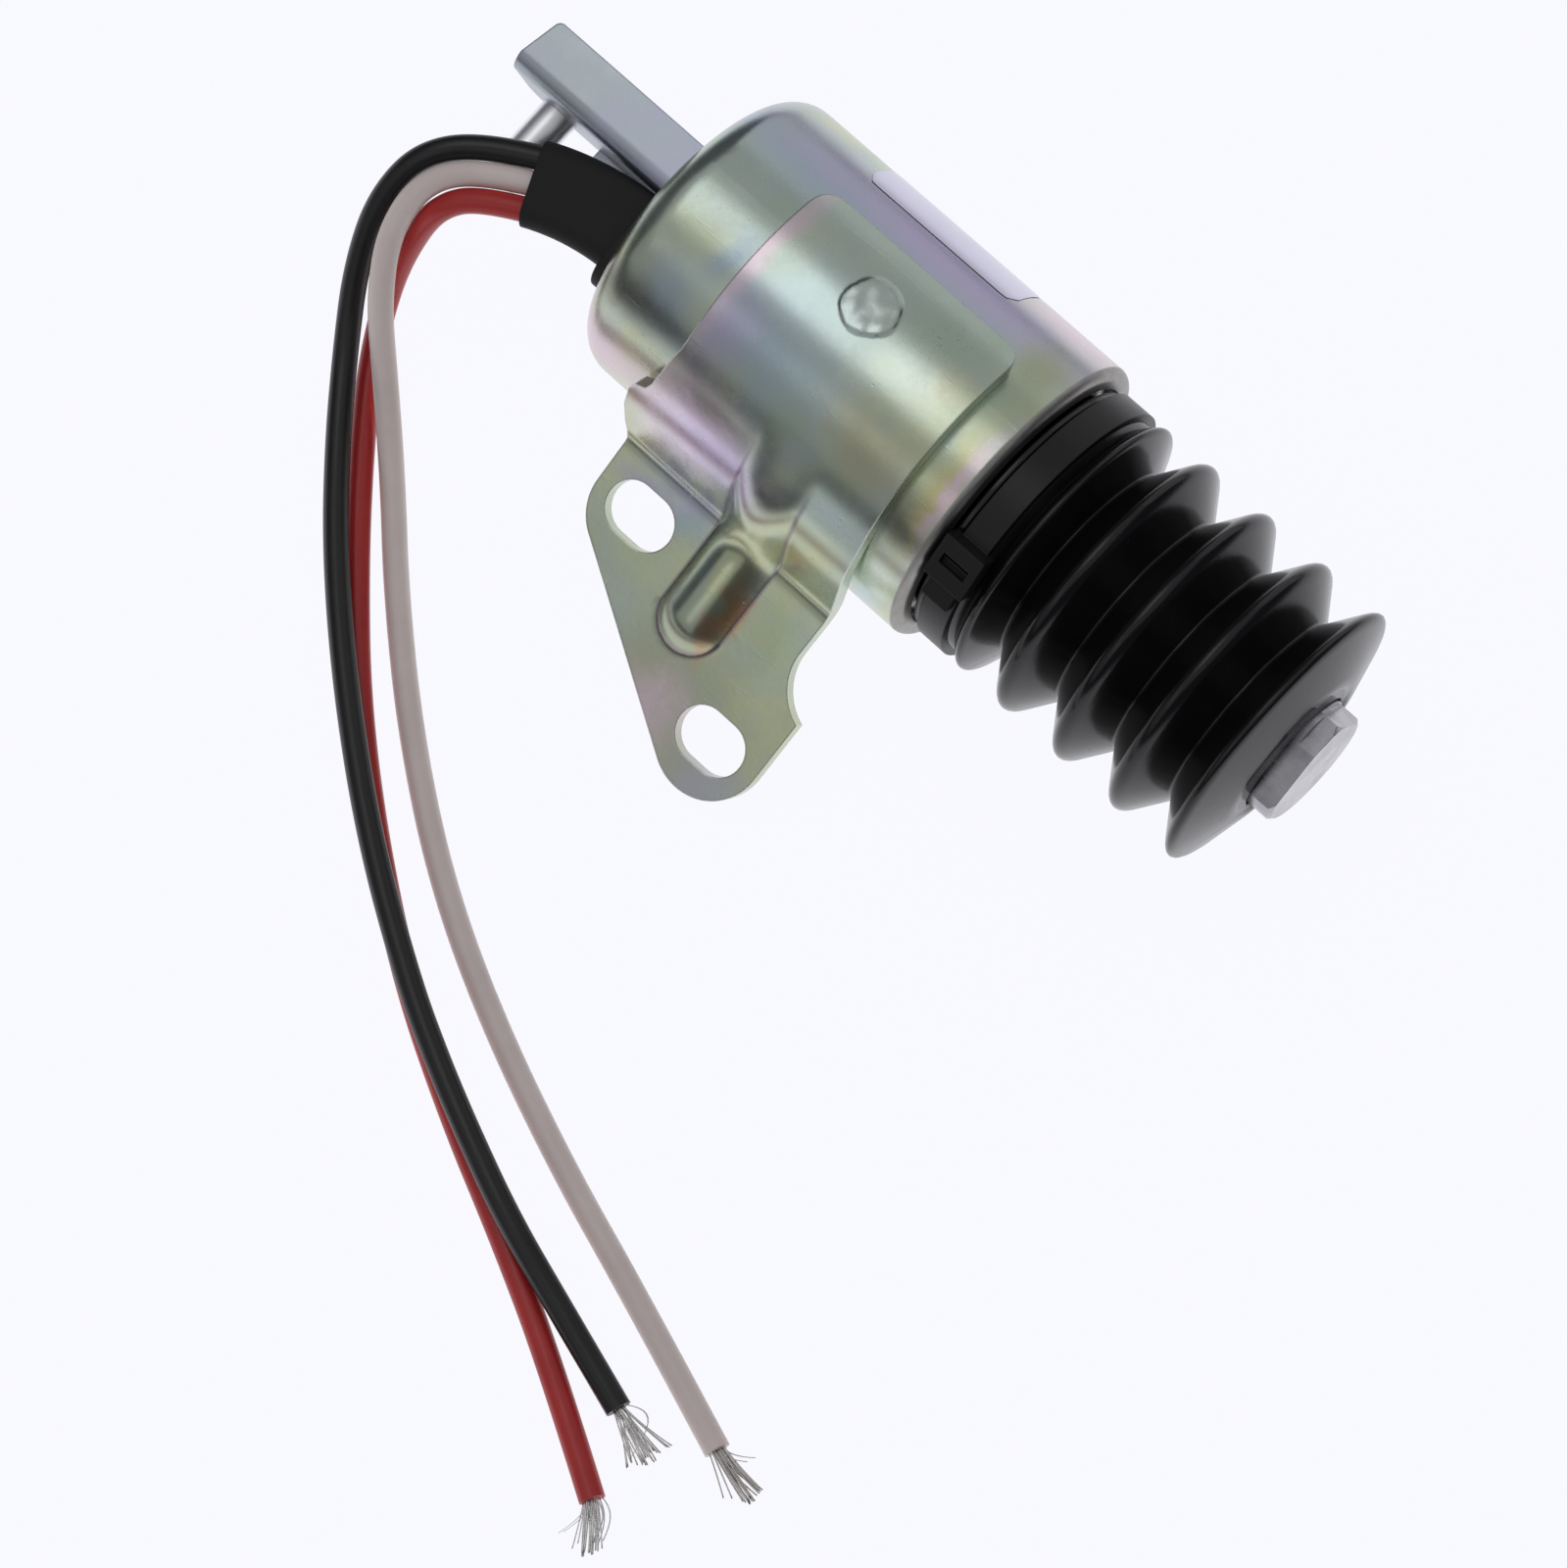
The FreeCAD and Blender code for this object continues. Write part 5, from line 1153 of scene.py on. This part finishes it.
@dataclass
class Dressing:
    """Finishes of the solids that are shown as they are."""

    nodes: dict[str, Object]
    axis: CanAxis
    plating: Material

    def coat(self, finish: Material, names: str) -> None:
        """Give nodes a material."""
        for name in names.split():
            self.nodes[name].data.materials.clear()
            self.nodes[name].data.materials.append(finish)
            log.info("%s wears %s", name, finish.name)

    def build(self) -> None:
        """Dress every node."""
        self.coat(self.plating, "mounting_bracket")
        self.coat(Chromate("can_chromate", self.axis, CAN_TINTS_AND_PAINTED_LIGHT).can(), "can")
        for finish, names in PLAIN_FINISHES:
            self.coat(finish.material(), names)


@dataclass
class Studio:
    """Camera, pale floor and soft lights."""

    axis: CanAxis
    eye: Triple = (133.64, -193.13, 539.44)
    forward: Triple = (-0.22495, 0.26381, -0.93798)
    down: Triple = (0.65575, -0.67099, -0.34598)
    lens: float = 122.18
    sensor: float = 36.0
    middle: Pair = (0.015, -0.023)
    pale: float = 0.14
    dim: float = 0.336
    extent: float = 1.6
    level: float = -0.3 * MM

    def camera(self) -> None:
        """Place the camera at the photograph's angle."""
        data = bpy.data.cameras.new("camera")
        data.lens, data.sensor_width = self.lens, self.sensor
        data.clip_start, data.clip_end = 0.01, 20
        back, up = -Vector(self.forward).normalized(), -Vector(self.down).normalized()
        right = up.cross(back).normalized()
        turn = Matrix((right, back.cross(right).normalized(), back)).transposed().to_4x4()
        camera = shown("camera", data)
        camera.matrix_world = Matrix.Translation(self.axis.rim + Vector(self.eye) * MM) @ turn
        bpy.context.scene.camera = camera

    def floor(self) -> None:
        """Lay a pale floor that glows like a light table."""
        skin = Surface("floor_pale")
        x, y, _ = skin.axes()
        away = ((x - self.middle[0]) ** 2 + (y - self.middle[1]) ** 2) ** 0.5
        glow = skin.mix(away.step(self.pale, self.dim), (0.935, 0.938, 0.985), (0.24, 0.245, 0.27))
        pale = skin.finish((0.02, 0.02, 0.02), 1.0, Specular_IOR_Level=0.0,
                           Emission_Color=glow, Emission_Strength=1.0)
        mesh = MeshBuilder()
        mesh.loft([[Vector((side * self.extent, end * self.extent, self.level)) for side in (-1, 1)]
                   for end in (-1, 1)], Ends.OPEN, around=False)
        mesh.build("studio_floor", pale)

    def panel(self, name: str, towards: Triple, size: Pair, glow: float, reach: float = 0.9) -> None:
        """Hang one soft panel that faces the part.

        Args:
            name: the panel's name.
            towards: direction from the part.
            size: width and height in metres.
            glow: its brightness as the part sees it, where 1 is white.
            reach: distance from the part in metres.
        """
        data = bpy.data.lights.new(name, "AREA")
        data.shape = "RECTANGLE"
        data.size, data.size_y = size
        data.energy = glow * pi * size[0] * size[1]
        spot = Vector(towards).normalized() * reach
        turn = spot.to_track_quat("Z", "Y").to_matrix().to_4x4()
        shown(name, data).matrix_world = Matrix.Translation(spot) @ turn

    def build(self) -> None:
        """Set up the studio."""
        bpy.context.scene.view_settings.view_transform = "Standard"
        self.camera()
        self.floor()
        world = bpy.data.worlds.new("studio_air")
        world.use_nodes = True
        air = world.node_tree.nodes["Background"].inputs
        air["Color"].default_value, air["Strength"].default_value = (0.82, 0.86, 1.0, 1), 0.10
        bpy.context.scene.world = world
        self.panel("ceiling", (-0.05, -0.05, 1.0), (2.0, 2.0), 0.36, 1.0)
        self.panel("key_panel", (-0.32, -0.09, 0.94), (0.42, 0.38), 0.90)
        self.panel("side_panel", (-0.2, 0.93, 0.36), (0.9, 0.8), 0.54)
        self.panel("near_panel", (-0.25, -0.92, 0.56), (1.4, 0.66), 0.30, 1.0)


def main() -> None:
    """Build the scene."""
    logging.basicConfig(level=logging.INFO, format="%(name)s: %(message)s")
    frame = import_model()
    axis = CanAxis.from_frame()
    Studio(axis).build()
    Harness(axis).build()
    plating = Chromate("bracket_chromate", axis, BRACKET_TINTS_AND_PAINTED_LIGHT, 0.25, 0.3).bracket()
    Dressing(frame["nodes"], axis, plating).build()
    Bracket(axis, plating).build()
    Boot(axis).build()
    Spring(axis).build()
    Label(axis).build()


if __name__ == "__main__":
    main()
